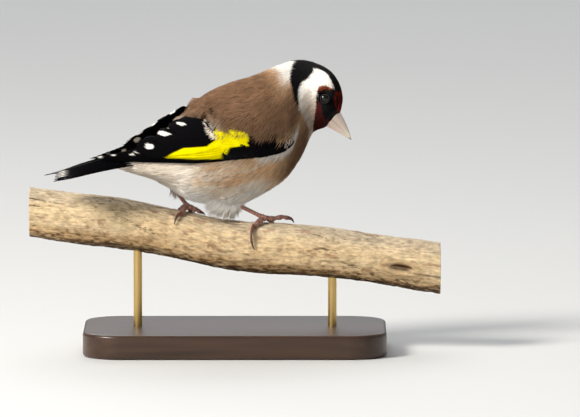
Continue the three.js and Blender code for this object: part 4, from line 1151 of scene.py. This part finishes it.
def wall_fans(side, x, z, size, barbs, dip, lift, name):
    """Small feathers on the wing's wall: fans like the body's, pointing back and down by dip."""
    n = len(x)
    k = np.linspace(-1, 1, barbs)
    s = SHARES
    share = k[None, :, None] + rng.normal(0, 0.12, (n, barbs, 1))
    back = size * rng.uniform(0.85, 1.12, (n, 1, 1)) * (1 - 0.3 * k[None, :, None] ** 2) * s
    back = back * rng.uniform(0.85, 1.08, (n, barbs, 1))
    aside = 0.3 * size * share * (0.16 + 0.84 * np.sin(np.minimum(s, 0.8) / 0.8 * np.pi / 2))
    dip = dip + rng.normal(0, 0.06, (n, 1, 1))
    px = x[:, None, None] - back * np.cos(dip) + aside * np.sin(dip)
    pz = z[:, None, None] - back * np.sin(dip) - aside * np.cos(dip)
    rise = (-0.9 * (1 - s) ** 1.3 + s * (lift + rng.normal(0, 0.09, (n, barbs, 1)))
            - 0.1 * (k**2)[None, :, None] * s)
    point, out = on_wing(px, pz, rise, side)
    centre = to_row(point).reshape(-1, 3, 3)
    out = (to_row(point + out) - to_row(point)).reshape(-1, 3, 3)
    half = np.full((n * barbs, 1), max(0.6 * size / barbs, 0.08)) * HALF_WIDTHS
    zero = np.zeros((n, barbs))
    base = wing_colour(name, px[..., 1:].mean(-1) + rng.normal(0, 0.15, (n, barbs)), pz[..., 1:].mean(-1),
                       zero, zero, zero).reshape(-1, 3)
    if name == "fringe":
        base, half = (lay(np.broadcast_to(WHITE, base.shape), BUFF, rng.uniform(0, 0.6, len(base))),
                      half * 0.5)
    if name == "down":
        base = lay(np.broadcast_to(WHITE, base.shape), BUFF, rng.uniform(0, 0.5, len(base)))
    base = base * rng.normal(1, 0.09, (n * barbs, 1)) * np.repeat(rng.normal(1, 0.08, (n, 1)), barbs, 0)
    root = np.repeat(unwrap(*body_place(x, z, side)), barbs, 0)
    # Painted shade at the roots of the barbs, lighter tips.
    return strands(centre, out, half, np.full_like(half, 0.09)), strand_tint(base, [0.7, 0.97, 1.08]), root


for side, word in ((-1, "right"), (1, "left")):
    all_points, all_faces, all_tint, all_line, start = [], [], [], [], 0
    for name, tier in TIERS.items():
        point, out, x, z, u, v, k, barb = wing_feathers(tier, side)
        thick = (0.13 + 0.16 * bell(v, 0, 0.12) * (1 - 0.7 * u)) / 2
        order = slice(None) if side < 0 else slice(None, None, -1)
        points, faces = closed_vanes(to_row(point),
                                     (to_row(point + out) - to_row(point)) * thick[..., None])
        tint = wing_colour(name, x, z, u, v, k, side)
        all_points.append(points)
        all_faces.append(faces + start)
        all_tint.append(np.stack([tint, tint], 1).reshape(-1, 3))
        all_line.append(np.stack([barb, barb], 1).ravel())
        start += len(points)
    stands = (f"wing_{word}",)
    fans = [wall_fans(side, *scatter(WRIST, 0.85), 3.4, 10, 0.12, 1.1, "wrist"),
            wall_fans(side, *scatter(LOBE, 1.0), 4.6, 12, 0.05, 1.15, "median_coverts"),
            wall_fans(side, *scatter(DOWN, 0.9), 3.8, 10, 0.42, 1.7, "down"),
            wall_fans(side, *scatter(EDGE, 1.0), 3.2, 5, 0.5, 1.7, "fringe")]
    coat_pieces(f"wing_coverts_{word}", *(np.concatenate(q) for q in zip(*fans)), coat_material,
                "flight_feathers")
    piece(f"wing_feathers_{word}", np.concatenate(all_points), np.concatenate(all_faces), vane_material,
          stands, np.concatenate(all_tint), None, np.concatenate(all_line))

# %% [markdown]
# ## Tail
#
# Twelve long feathers lie in two stacks that slope down from the middle pair. They are the same
# thin sheets as the wing's, on a line from the rump to the tail's tip with a slight arch.

# %% Tail feathers
TAIL = {"root": (-24, 2.2), "tip": (-65, -7.0), "arch": 1.0, "fork": 2.6, "lean": 0.6, "twist": 0.05,
        "gather": 1.6, "spread": 5.6, "drop": (4.2, 1.2), "wide": 2.3}
root, tip = np.array(TAIL["root"], float), np.array(TAIL["tip"], float)
length = np.linalg.norm(tip - root)
along = (tip - root) / length
down = np.array([along[1], 0, -along[0]]) * -1
down = np.array([-along[1], 0.0, along[0]])
sides = np.repeat([-1.0, 1.0], 6)[:, None, None]
share = np.tile(np.arange(6) / 5, 2)[:, None, None]
u, v = np.linspace(0, 1, 34)[None, :, None], np.linspace(-1, 1, 9)[None, None, :]
reach = length + TAIL["fork"] * share**1.2
w = TAIL["wide"] * vane_outline(u, 0.35) * v
y = sides * (0.5 + mix(TAIL["gather"], TAIL["spread"], u) * share + w) + TAIL["lean"] * u
drop = mix(TAIL["drop"][0], TAIL["drop"][1], u) * (share + v * 0.1) - TAIL["arch"] * np.sin(np.pi * u)
drop = drop + TAIL["twist"] * y * u + 0.06 * v**2
rounded = u - 0.035 * v**2 * smooth(0.5, 1, u)
x = root[0] + along[0] * reach * rounded + down[0] * drop
z = root[1] + along[1] * reach * rounded + down[2] * drop
point = np.stack(np.broadcast_arrays(x, y, z), -1)
out = np.broadcast_to(down, point.shape)
thick = (0.14 + 0.2 * bell(v, 0, 0.1) * (1 - 0.7 * u)) / 2 * np.ones_like(x)
points, faces = closed_vanes(to_row(point), (to_row(point + out) - to_row(point)) * thick[..., None])
uu, vv, kk = (np.broadcast_to(q, x.shape) for q in (u, v, share))
tint = np.broadcast_to(BLACK, (*x.shape, 3)) * (1 + 0.8 * smooth(0.75, 1, np.abs(vv)))[..., None]
tip_spot = smooth(0.9, 0.93, uu) * (1 - smooth(0.965, 0.985, uu)) * bell(vv, 0.35, 0.3) * (kk < 0.7)
tint = lay(tint, WHITE, tip_spot)
oval = (1 - smooth(0.5, 1.0, np.hypot((uu - 0.84) / 0.08, (vv * -1 - 0.25) / 0.6))) * (kk > 0.7)
tint = lay(tint, WHITE, oval)
line = (uu * length / 0.24 + np.abs(vv) * 9) * np.pi
piece("tail_feathers", points, faces, vane_material, ("tail",),
      np.stack([tint, tint], 1).reshape(-1, 3), None, np.stack([line, line], 1).ravel())

# %% [markdown]
# ## The perch
#
# The branch is a tube whose middle line bends and whose radius wanders, given by the same
# functions as the part, with weathering added: long cracks, shallow flakes and a knot. Cracks are
# narrow dips along wandering lines. Colour follows shape: grey on top where the wood has
# weathered, yellow-brown below, and painted shade on the underside, in the cracks and in the knot's
# hollow, over darker wood in both, with a painted shadow along the line that trails from the knot.

# %% Branch
PERCH = {"from": -76.0, "to": 76.0, "radius": 9.2, "height": 40.9, "slope": -0.1364}
KNOT = {"x": 61.5, "angle": 97.0, "length": 5.2, "width": 2.0, "depth": 1.7}


def perch_middle(x):
    return PERCH["height"] + PERCH["slope"] * x - 1.9 * bell(x, -1, 20) + 0.6 * bell(x, -43, 12)


def perch_radius(x, angle):
    a = np.radians(angle)
    return (PERCH["radius"] + 0.22 * np.sin(x / 11) + 0.35 * bell(x, 66, 9)
            + 0.16 * np.sin(3 * a + x / 23) + 0.1 * np.sin(5 * a - x / 9))


def on_perch(x, angle, height=0.0):
    """A point over the branch: angle 0 on top and positive towards the viewer, height above it."""
    r = perch_radius(x, angle) + height
    a = np.radians(angle)
    return np.stack(np.broadcast_arrays(x, -r * np.sin(a), perch_middle(x) + r * np.cos(a)), -1)


rows, columns = 500, 176
xs = np.linspace(PERCH["from"], PERCH["to"], rows)
angles = np.arange(columns) * 360 / columns
xx, aa = np.meshgrid(xs, angles, indexing="ij")
ring = np.stack([np.cos(np.radians(aa)), np.sin(np.radians(aa))], -1)
grain = rough(np.stack([xx * 0.045, ring[..., 0] * 4.2, ring[..., 1] * 4.2], -1), 5, 4)
wander = rough(np.stack([xx * 0.035, ring[..., 0] * 1.1, ring[..., 1] * 1.1], -1), 31, 3)
lines = rough(np.stack([xx * 0.03, ring[..., 0] * 5 + wander, ring[..., 1] * 5], -1), 47, 3)
deep = smooth(0.0, 0.4, rough(np.stack([xx * 0.06, ring[..., 0], ring[..., 1]], -1), 61, 2))
crack = bell(lines, 0.0, 0.04) * deep
thread = rough(np.stack([xx * 0.07, ring[..., 0] * 15 + wander, ring[..., 1] * 15], -1), 53, 3)
hair = bell(thread, 0.25, 0.07) + bell(thread, -0.3, 0.05)
flakes = rough(np.stack([xx * 0.4, ring[..., 0] * 7, ring[..., 1] * 7], -1), 77, 4)
away = (aa - KNOT["angle"] + 180) % 360 - 180
knot_off = np.hypot((xx - KNOT["x"]) / KNOT["length"], away * 0.161 / KNOT["width"])
knot = 1 - smooth(0.5, 1.0, knot_off)
rim = bell(knot_off, 1.25, 0.32)
trail = bell(away * 0.161, 0.9 + 0.05 * (xx - KNOT["x"]), 0.35) * smooth(0.2, 5, xx - KNOT["x"] + 4)
radius = (0.16 * grain + 0.16 * flakes - 0.45 * crack - 0.1 * hair - KNOT["depth"] * knot + 0.45 * rim
          - 0.4 * trail - 0.5 * knot * (0.5 + 0.5 * flakes))
side_points = on_perch(xx, aa, radius)

tan, grey = colour(224, 197, 154), colour(190, 174, 150)
honey, umber = colour(204, 162, 110), colour(52, 36, 24)
high = 0.5 + 0.5 * np.cos(np.radians(aa))
tint = np.broadcast_to(tan, (*xx.shape, 3))
tint = lay(tint, grey, np.clip(smooth(0.6, 1.0, high) * 0.75 + 0.3 * grain, 0, 1))
tint = lay(tint, honey, np.clip(smooth(0.45, 0.1, high) * 0.9 + 0.3 * wander, 0, 1)
           * (1 - smooth(0.5, 0.8, high)))
# Painted shade: umber on the underside of the branch.
tint = lay(tint, umber, np.clip(smooth(0.16, 0.02, high) * 0.8, 0, 1))
scale = rough(np.stack([xx * 0.55, ring[..., 0] * 11, ring[..., 1] * 11], -1), 83, 3)
tint = tint * (1 + 0.14 * flakes + 0.1 * grain)[..., None]
tint = lay(tint, colour(240, 218, 178), smooth(0.1, 0.4, scale) * 0.3)
# Darker pits, and more painted shade along the underside.
tint = lay(tint, umber, smooth(0.28, 0.5, -scale) * 0.2 + 0.55 * smooth(0.2, 0.02, high + 0.2 * scale))
# The cracks are darkened with painted shade over darker wood; the fine threads are dark grain.
tint = lay(tint, umber, np.clip(crack * 0.85 + hair * 0.3, 0, 1))
# Painted shadow along the line that trails from the knot.
tint = lay(tint, umber, trail * 0.6)
tint = lay(tint, honey * 0.62, rim * 0.5)
# The knot's hollow is painted near-black and darker on one side: painted shade in the hollow, over darker
# knot wood.
tint = lay(tint, lay(np.broadcast_to(colour(20, 13, 9), tint.shape), colour(120, 78, 46),
                     0.22 + 0.4 * flakes),
           knot * (0.55 + 0.45 * smooth(-0.3, 0.3, -away * 0.161)))
stain = smooth(0.55, 0.8, rough(np.stack([xx * 0.22, ring[..., 0] * 5, ring[..., 1] * 5], -1), 91, 3))
tint = lay(tint, colour(132, 78, 50), stain * 0.45)


def cut_end(x, edge, inner=26):
    """Rings of a sawn end, from the edge in to the pith, with growth rings and fine splits."""
    share = np.linspace(1, 0, inner + 1)[1:-1, None, None]
    middle = np.array([x, 0, perch_middle(x)])
    p = middle + (edge[None] - middle) * share
    r, a = np.broadcast_arrays(share[..., 0] * 9.2, np.radians(angles)[None])
    wave = noise(np.stack([r * 0.3, np.cos(a) * 2, np.sin(a) * 2], -1), 8)
    year = 0.5 + 0.5 * np.sin(r * 5.2 + 0.8 * wave)
    split = bell(noise(np.stack([r * 0.05, np.cos(a) * 4, np.sin(a) * 4], -1), 12), 0, 0.05)
    shade = lay(np.broadcast_to(colour(206, 178, 134), (*r.shape, 3)), colour(158, 118, 74), year * 0.7)
    # The splits are darkened with painted shade over darker wood.
    shade = lay(shade, umber, split * 0.7 * (1 - smooth(6, 9, r)))
    return p, shade


end_a, shade_a = cut_end(PERCH["from"], side_points[0])
end_b, shade_b = cut_end(PERCH["to"], side_points[-1])
rings = np.concatenate([end_a[::-1], side_points, end_b])
tint = np.concatenate([shade_a[::-1], tint, shade_b])
points, faces = closed_rings(rings)
tint = np.concatenate([tint.reshape(-1, 3), [umber, umber]])
piece("perch_branch", points, faces, wood_material, ("perch",), tint)

# %% [markdown]
# ## Legs, toes and claws
#
# A leg part is a tube along a smooth line: round, with plates of skin (scutes) as small steps in
# its radius. The toes lie on the branch, so their lines are given on it, as a place along, an
# angle round and a height. Claws taper to a point and hook round the wood.

# %% Feet
def tube(path, radius, sides=20, steps=60, flat=1.0):
    """Rings along a smooth line through the path, with a radius for each share and angle."""
    path = np.asarray(path, float)
    gaps = np.sqrt(np.linalg.norm(np.diff(path, axis=0), axis=1))
    knots = np.concatenate([[0], np.cumsum(gaps)])
    dense = curve(np.column_stack([knots, path]), np.linspace(0, knots[-1], 400))
    run = np.concatenate([[0], np.cumsum(np.linalg.norm(np.diff(dense, axis=0), axis=1))])
    at = np.linspace(0, run[-1], steps)
    centre = np.stack([np.interp(at, run, dense[:, k]) for k in range(3)], -1)
    way = unit(np.gradient(centre, axis=0))
    up = unit(np.array([0.05, 0.08, 1.0]) - way * (way @ np.array([0.05, 0.08, 1.0]))[:, None])
    across = np.cross(way, up)
    s, a = np.meshgrid(at / run[-1], np.linspace(0, 2 * np.pi, sides, endpoint=False), indexing="ij")
    r = radius(s, a, run[-1])
    rings = (centre[:, None] + (r * np.cos(a))[..., None] * up[:, None]
             + (r * np.sin(a) * flat)[..., None] * across[:, None])
    return rings, s, a, run[-1]


LEGS = {
    "right": {
        "heel": [-0.6, -6.5, -17.2], "foot": (10.8, 12, 2.1),
        "toes": {"hallux": [(8.8, 26, 1.5), (7.0, 38, 1.1)],
                 "inner": [(14.4, 4, 1.7), (17.2, -2, 2.3), (19.4, -8, 2.1)],
                 "middle": [(12.6, -14, 1.5), (13.8, -40, 1.35), (14.6, -62, 1.05)],
                 "outer": [(9.6, -16, 1.4), (8.4, -38, 1.3), (7.6, -56, 1.05)]},
        "claws": {"hallux": [(6.0, 58, 1.6), (6.3, 76, 1.3), (7.3, 91, 0.4)],
                  "inner": [(21.0, -11, 1.7), (21.9, -14, 0.4)],
                  "middle": [(15.2, -78, 1.2), (15.6, -90, 0.4)],
                  "outer": [(7.2, -72, 1.2), (7.0, -84, 0.4)]},
    },
    "left": {
        "heel": [-15.7, 7.5, -17.0], "foot": (-17.8, 6, 2.6),
        "toes": {"hallux": [(-19.0, 20, 1.6), (-19.8, 31, 1.1)],
                 "inner": [(-15.3, 5, 2.0), (-13.2, 1, 1.2)],
                 "middle": [(-16.6, -16, 1.5), (-15.6, -42, 1.3), (-15.0, -64, 1.05)],
                 "outer": [(-19.4, -18, 1.5), (-20.8, -40, 1.3), (-21.6, -58, 1.05)]},
        "claws": {"hallux": [(-21.2, 43, 1.3), (-22.0, 54, 1.0), (-22.3, 64, 0.4)],
                  "inner": [(-12.0, -2, 0.9), (-11.0, -5, 0.4)],
                  "middle": [(-14.6, -80, 1.2), (-14.4, -92, 0.4)],
                  "outer": [(-22.2, -74, 1.2), (-22.6, -86, 0.4)]},
    },
}
FLESH, DARK, HORN = colour(172, 124, 108), colour(76, 48, 42), colour(112, 72, 60)


def scutes(s, a, length, size, pitch=0.9):
    """Overlapping plates: within each one the radius swells slowly, then drops at its edge."""
    phase = (s * length / pitch) % 1.0
    return size * (1 + 0.2 * (phase**1.5 - 0.45) * (0.35 + 0.65 * np.cos(a)))


def skin_tint(s, a, length, pitch=0.9, joints=0):
    """Flesh between the plates' dark edges, darker and browner over the joints."""
    phase = (s * length / pitch) % 1.0
    tint = lay(np.broadcast_to(FLESH, (*s.shape, 3)), DARK, (1 - smooth(0.0, 0.34, phase)) * 0.8)
    tint = lay(tint, DARK, bell(np.cos(a), 1, 0.7) * 0.35)
    tint = lay(tint, DARK, joints * 0.4 * (0.5 + 0.5 * np.cos(2 * np.pi * 3 * s)))
    return (tint * (1 + 0.12 * np.sin(s * 31 + a * 3))[..., None]).reshape(-1, 3)


def add_tube(name, node, made, tint, material):
    points, faces = closed_rings(made)
    piece(name, points, faces, material, (node,), np.concatenate([tint, tint[:1], tint[-1:]]))


for word, leg in LEGS.items():
    foot, heel = on_perch(*leg["foot"]), to_row(np.array(leg["heel"]))

    def shank(s, a, length):
        knee, joint = 0.34 * bell(s, 0, 0.12), 0.42 * bell(s, 0.985, 0.12)
        return scutes(s, a, length, 0.76 + knee + joint, 1.15)

    past = foot + unit(foot - heel) * 0.7
    rings, s, a, run = tube([heel, (heel + foot) / 2, foot, past], shank, sides=24, steps=110)
    add_tube(f"tarsus_{word}_skin", f"tarsus_{word}", rings, skin_tint(s, a, run, 1.15), leg_material)
    for toe, places in leg["toes"].items():
        path = [foot, *[on_perch(*p) for p in places]]

        def toe_radius(s, a, length):
            pads = 0.13 * np.cos(2 * np.pi * 3 * s) * (1 - 0.5 * np.cos(a))
            plates = scutes(s, a, length, mix(0.98, 0.78, s) + pads, 0.75)
            return plates * np.sqrt(1 - 0.75 * smooth(0.94, 1.0, s))

        rings, s, a, run = tube(path, toe_radius, sides=22, steps=96)
        tint = skin_tint(s, a, run, 0.75, 1)
        add_tube(f"toe_{word}_{toe}_skin", f"toe_{word}_{toe}", rings, tint, leg_material)
        way = unit(path[-1] - path[-2])
        claw = [path[-1] - way * 0.3, path[-1] + way * 0.45, *[on_perch(*p) for p in leg["claws"][toe]]]
        size = 1.35 if toe == "hallux" else 1.1

        def claw_radius(s, a, length):
            groove = 1 - 0.1 * bell(np.abs(np.sin(a)), 1, 0.3)
            return size * mix(0.6, 0.06, s**1.3) * (1 + 0.22 * np.cos(a) ** 2) * groove

        rings, s, a, run = tube(claw, claw_radius, sides=18, steps=48, flat=0.85)
        tint = lay(np.broadcast_to(HORN, (*s.shape, 3)), colour(44, 28, 25),
                   smooth(0.3, 1.0, s)).reshape(-1, 3)
        add_tube(f"claw_{word}_{toe}_horn", f"claw_{word}_{toe}", rings, tint, claw_material)

# %% [markdown]
# ## Stand
#
# A museum would hold the branch on thin rods over a flat base. The base is a rounded rectangle
# whose outline shrinks step by step over the bevel and then to the middle, which gives a closed
# surface from one grid. A box with a bevel modifier would do as well, but its grid would be uneven.

# %% Base and rods
def rounded(length, width, corner, count=168):
    """Points of a rounded rectangle, evenly spread by angle within each corner."""
    quarter = count // 4
    a = np.linspace(0, np.pi / 2, quarter)
    centres = [(1, 1), (-1, 1), (-1, -1), (1, -1)]
    out = []
    for k, (sx, sy) in enumerate(centres):
        turned = a + k * np.pi / 2
        out.append(np.stack([sx * (length / 2 - corner) + corner * np.cos(turned),
                             sy * (width / 2 - corner) + corner * np.sin(turned)], -1))
    return np.concatenate(out)


low, high = (np.array(v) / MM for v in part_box("stand_base"))
size, corner = high - low, 14.0
BEVEL = 1.2  # mm, how far the base's edges are rounded over
CAP_SHARES = (0.12, 0.5, 0.9)  # rings that fill the flat faces, as shares of the face's width


def base_ring(inset, height, share=1.0):
    """A ring of the base's outline: drawn in by inset mm, at a height, scaled by a share."""
    outline = rounded(size[0] - 2 * inset, size[1] - 2 * inset, corner - inset)
    return np.column_stack([outline * share, np.full(len(outline), height)])


turns = np.linspace(0, np.pi / 2, 7)
flat_share = 1 - 2 * BEVEL / size[1]
rings = [base_ring(0, low[2], s * flat_share) for s in CAP_SHARES]
rings += [base_ring(BEVEL * (1 - np.sin(k)), low[2] + BEVEL * (1 - np.cos(k))) for k in turns]
rings += [base_ring(0, z) for z in np.linspace(low[2] + 2 * BEVEL, high[2] - 2 * BEVEL, 5)]
rings += [base_ring(BEVEL * (1 - np.sin(k)), high[2] - BEVEL * (1 - np.cos(k))) for k in turns[::-1]]
rings += [base_ring(0, high[2], s * flat_share) for s in CAP_SHARES[::-1]]
points, faces = closed_rings(np.stack(rings))
piece("stand_base_wood", points, faces, base_material, ("stand_base",))
for word in ("left", "right"):
    low, high = (np.array(v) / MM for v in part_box(f"stand_rod_{word}"))
    middle, radius = (low + high) / 2, (high[0] - low[0]) / 2
    top = high[2]
    z = np.concatenate([[low[2]], np.linspace(low[2] + 0.3, top - 0.3, 30), [top]])
    r = radius * np.concatenate([[0.85], 1 + 0.004 * np.sin(np.linspace(0, 60, 30)), [0.85]])
    a = np.linspace(0, 2 * np.pi, 48, endpoint=False)
    circle = np.stack([np.cos(a), np.sin(a)], -1)
    rings = np.stack([np.column_stack([middle[:2] + rr * circle, np.full(len(a), zz)])
                      for rr, zz in zip(r, z)])
    points, faces = closed_rings(rings)
    piece(f"stand_rod_{word}_brass", points, faces, brass_material, (f"stand_rod_{word}",))

# %% [markdown]
# ## Floor, light and camera
#
# The floor is wide and pale, and fills the view behind the bird because the camera looks slightly
# down. The main light is a soft box at the upper left, in front, as the sun stands in the photo.
# The camera is far away with a long lens, so that the frame is as wide as the photo's.

# %% Stage
def plain(name, value, roughness):
    material, tree, main = shader(name, roughness, base=(value, value, value * 0.985), specular=0.2)
    speckle(tree, main, 3, 0.015)
    return material


bpy.ops.mesh.primitive_plane_add(size=24, location=(0, 6, 0))
floor = bpy.context.object
floor.name = "floor"
floor.data.materials.append(plain("floor", 0.68, 0.9))
floor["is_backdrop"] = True

scene = bpy.context.scene
target = np.array([0.02035, 0.0, 0.05265])


def lamp(name, place, size, power, tone=(1, 1, 1)):
    """A square soft light at a place, facing the bird."""
    data = bpy.data.lights.new(name, "AREA")
    data.size, data.energy, data.color = size, power, tone
    made = bpy.data.objects.new(name, data)
    scene.collection.objects.link(made)
    made.location = place
    way = target - np.array(place)
    made.rotation_euler = (math.atan2(math.hypot(way[0], way[1]), -way[2]), 0,
                           math.atan2(way[0], -way[1]) + math.pi)
    return made


lamp("key", (-1.05, -0.8, 1.05), 0.5, 34, (1.0, 0.96, 0.9))
lamp("fill", (-0.6, -1.5, 0.15), 1.2, 4.0, (1.0, 0.97, 0.93))
lamp("top", (-0.2, 0.4, 1.3), 1.0, 3.0)
lamp("backdrop", (0.0, 6.0, 5.0), 5.0, 260)
world = bpy.data.worlds.new("studio")
world.use_nodes = True
world.node_tree.nodes["Background"].inputs[0].default_value = (0.82, 0.86, 0.92, 1)
world.node_tree.nodes["Background"].inputs[1].default_value = 0.3
scene.world = world
scene.view_settings.view_transform = "Standard"

camera_data = bpy.data.cameras.new("camera")
camera_data.sensor_width = 36
camera_data.lens = 36 * 3.0 / 0.2146
camera_data.clip_end = 60
camera = bpy.data.objects.new("camera", camera_data)
scene.collection.objects.link(camera)
elevation = math.radians(6)
camera.location = target + 3.0 * np.array([0, -math.cos(elevation), math.sin(elevation)])
camera.rotation_euler = (math.pi / 2 - elevation, 0, 0)
scene.camera = camera

# %% [markdown]
# ## The sizes
#
# The box of the frame and the box of the finished model are printed side by side, so that any
# change of the part's size shows.

# %% Sizes and finish
box_at_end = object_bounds()
for a, b in zip(box_at_start, box_at_end):
    print("box, frame and model, mm:", np.round(np.array(a) / MM, 1), np.round(np.array(b) / MM, 1))
pieces = [o for o in bpy.context.scene.objects if o.type == "MESH"]
COAT = ("coat_", "wing_coverts", "tuft_", "bill_bristles")
coat = sum(len(o.data.polygons) for o in pieces if o.name.startswith(COAT))
print("faces of the coat and of the whole:", coat, sum(len(o.data.polygons) for o in pieces))
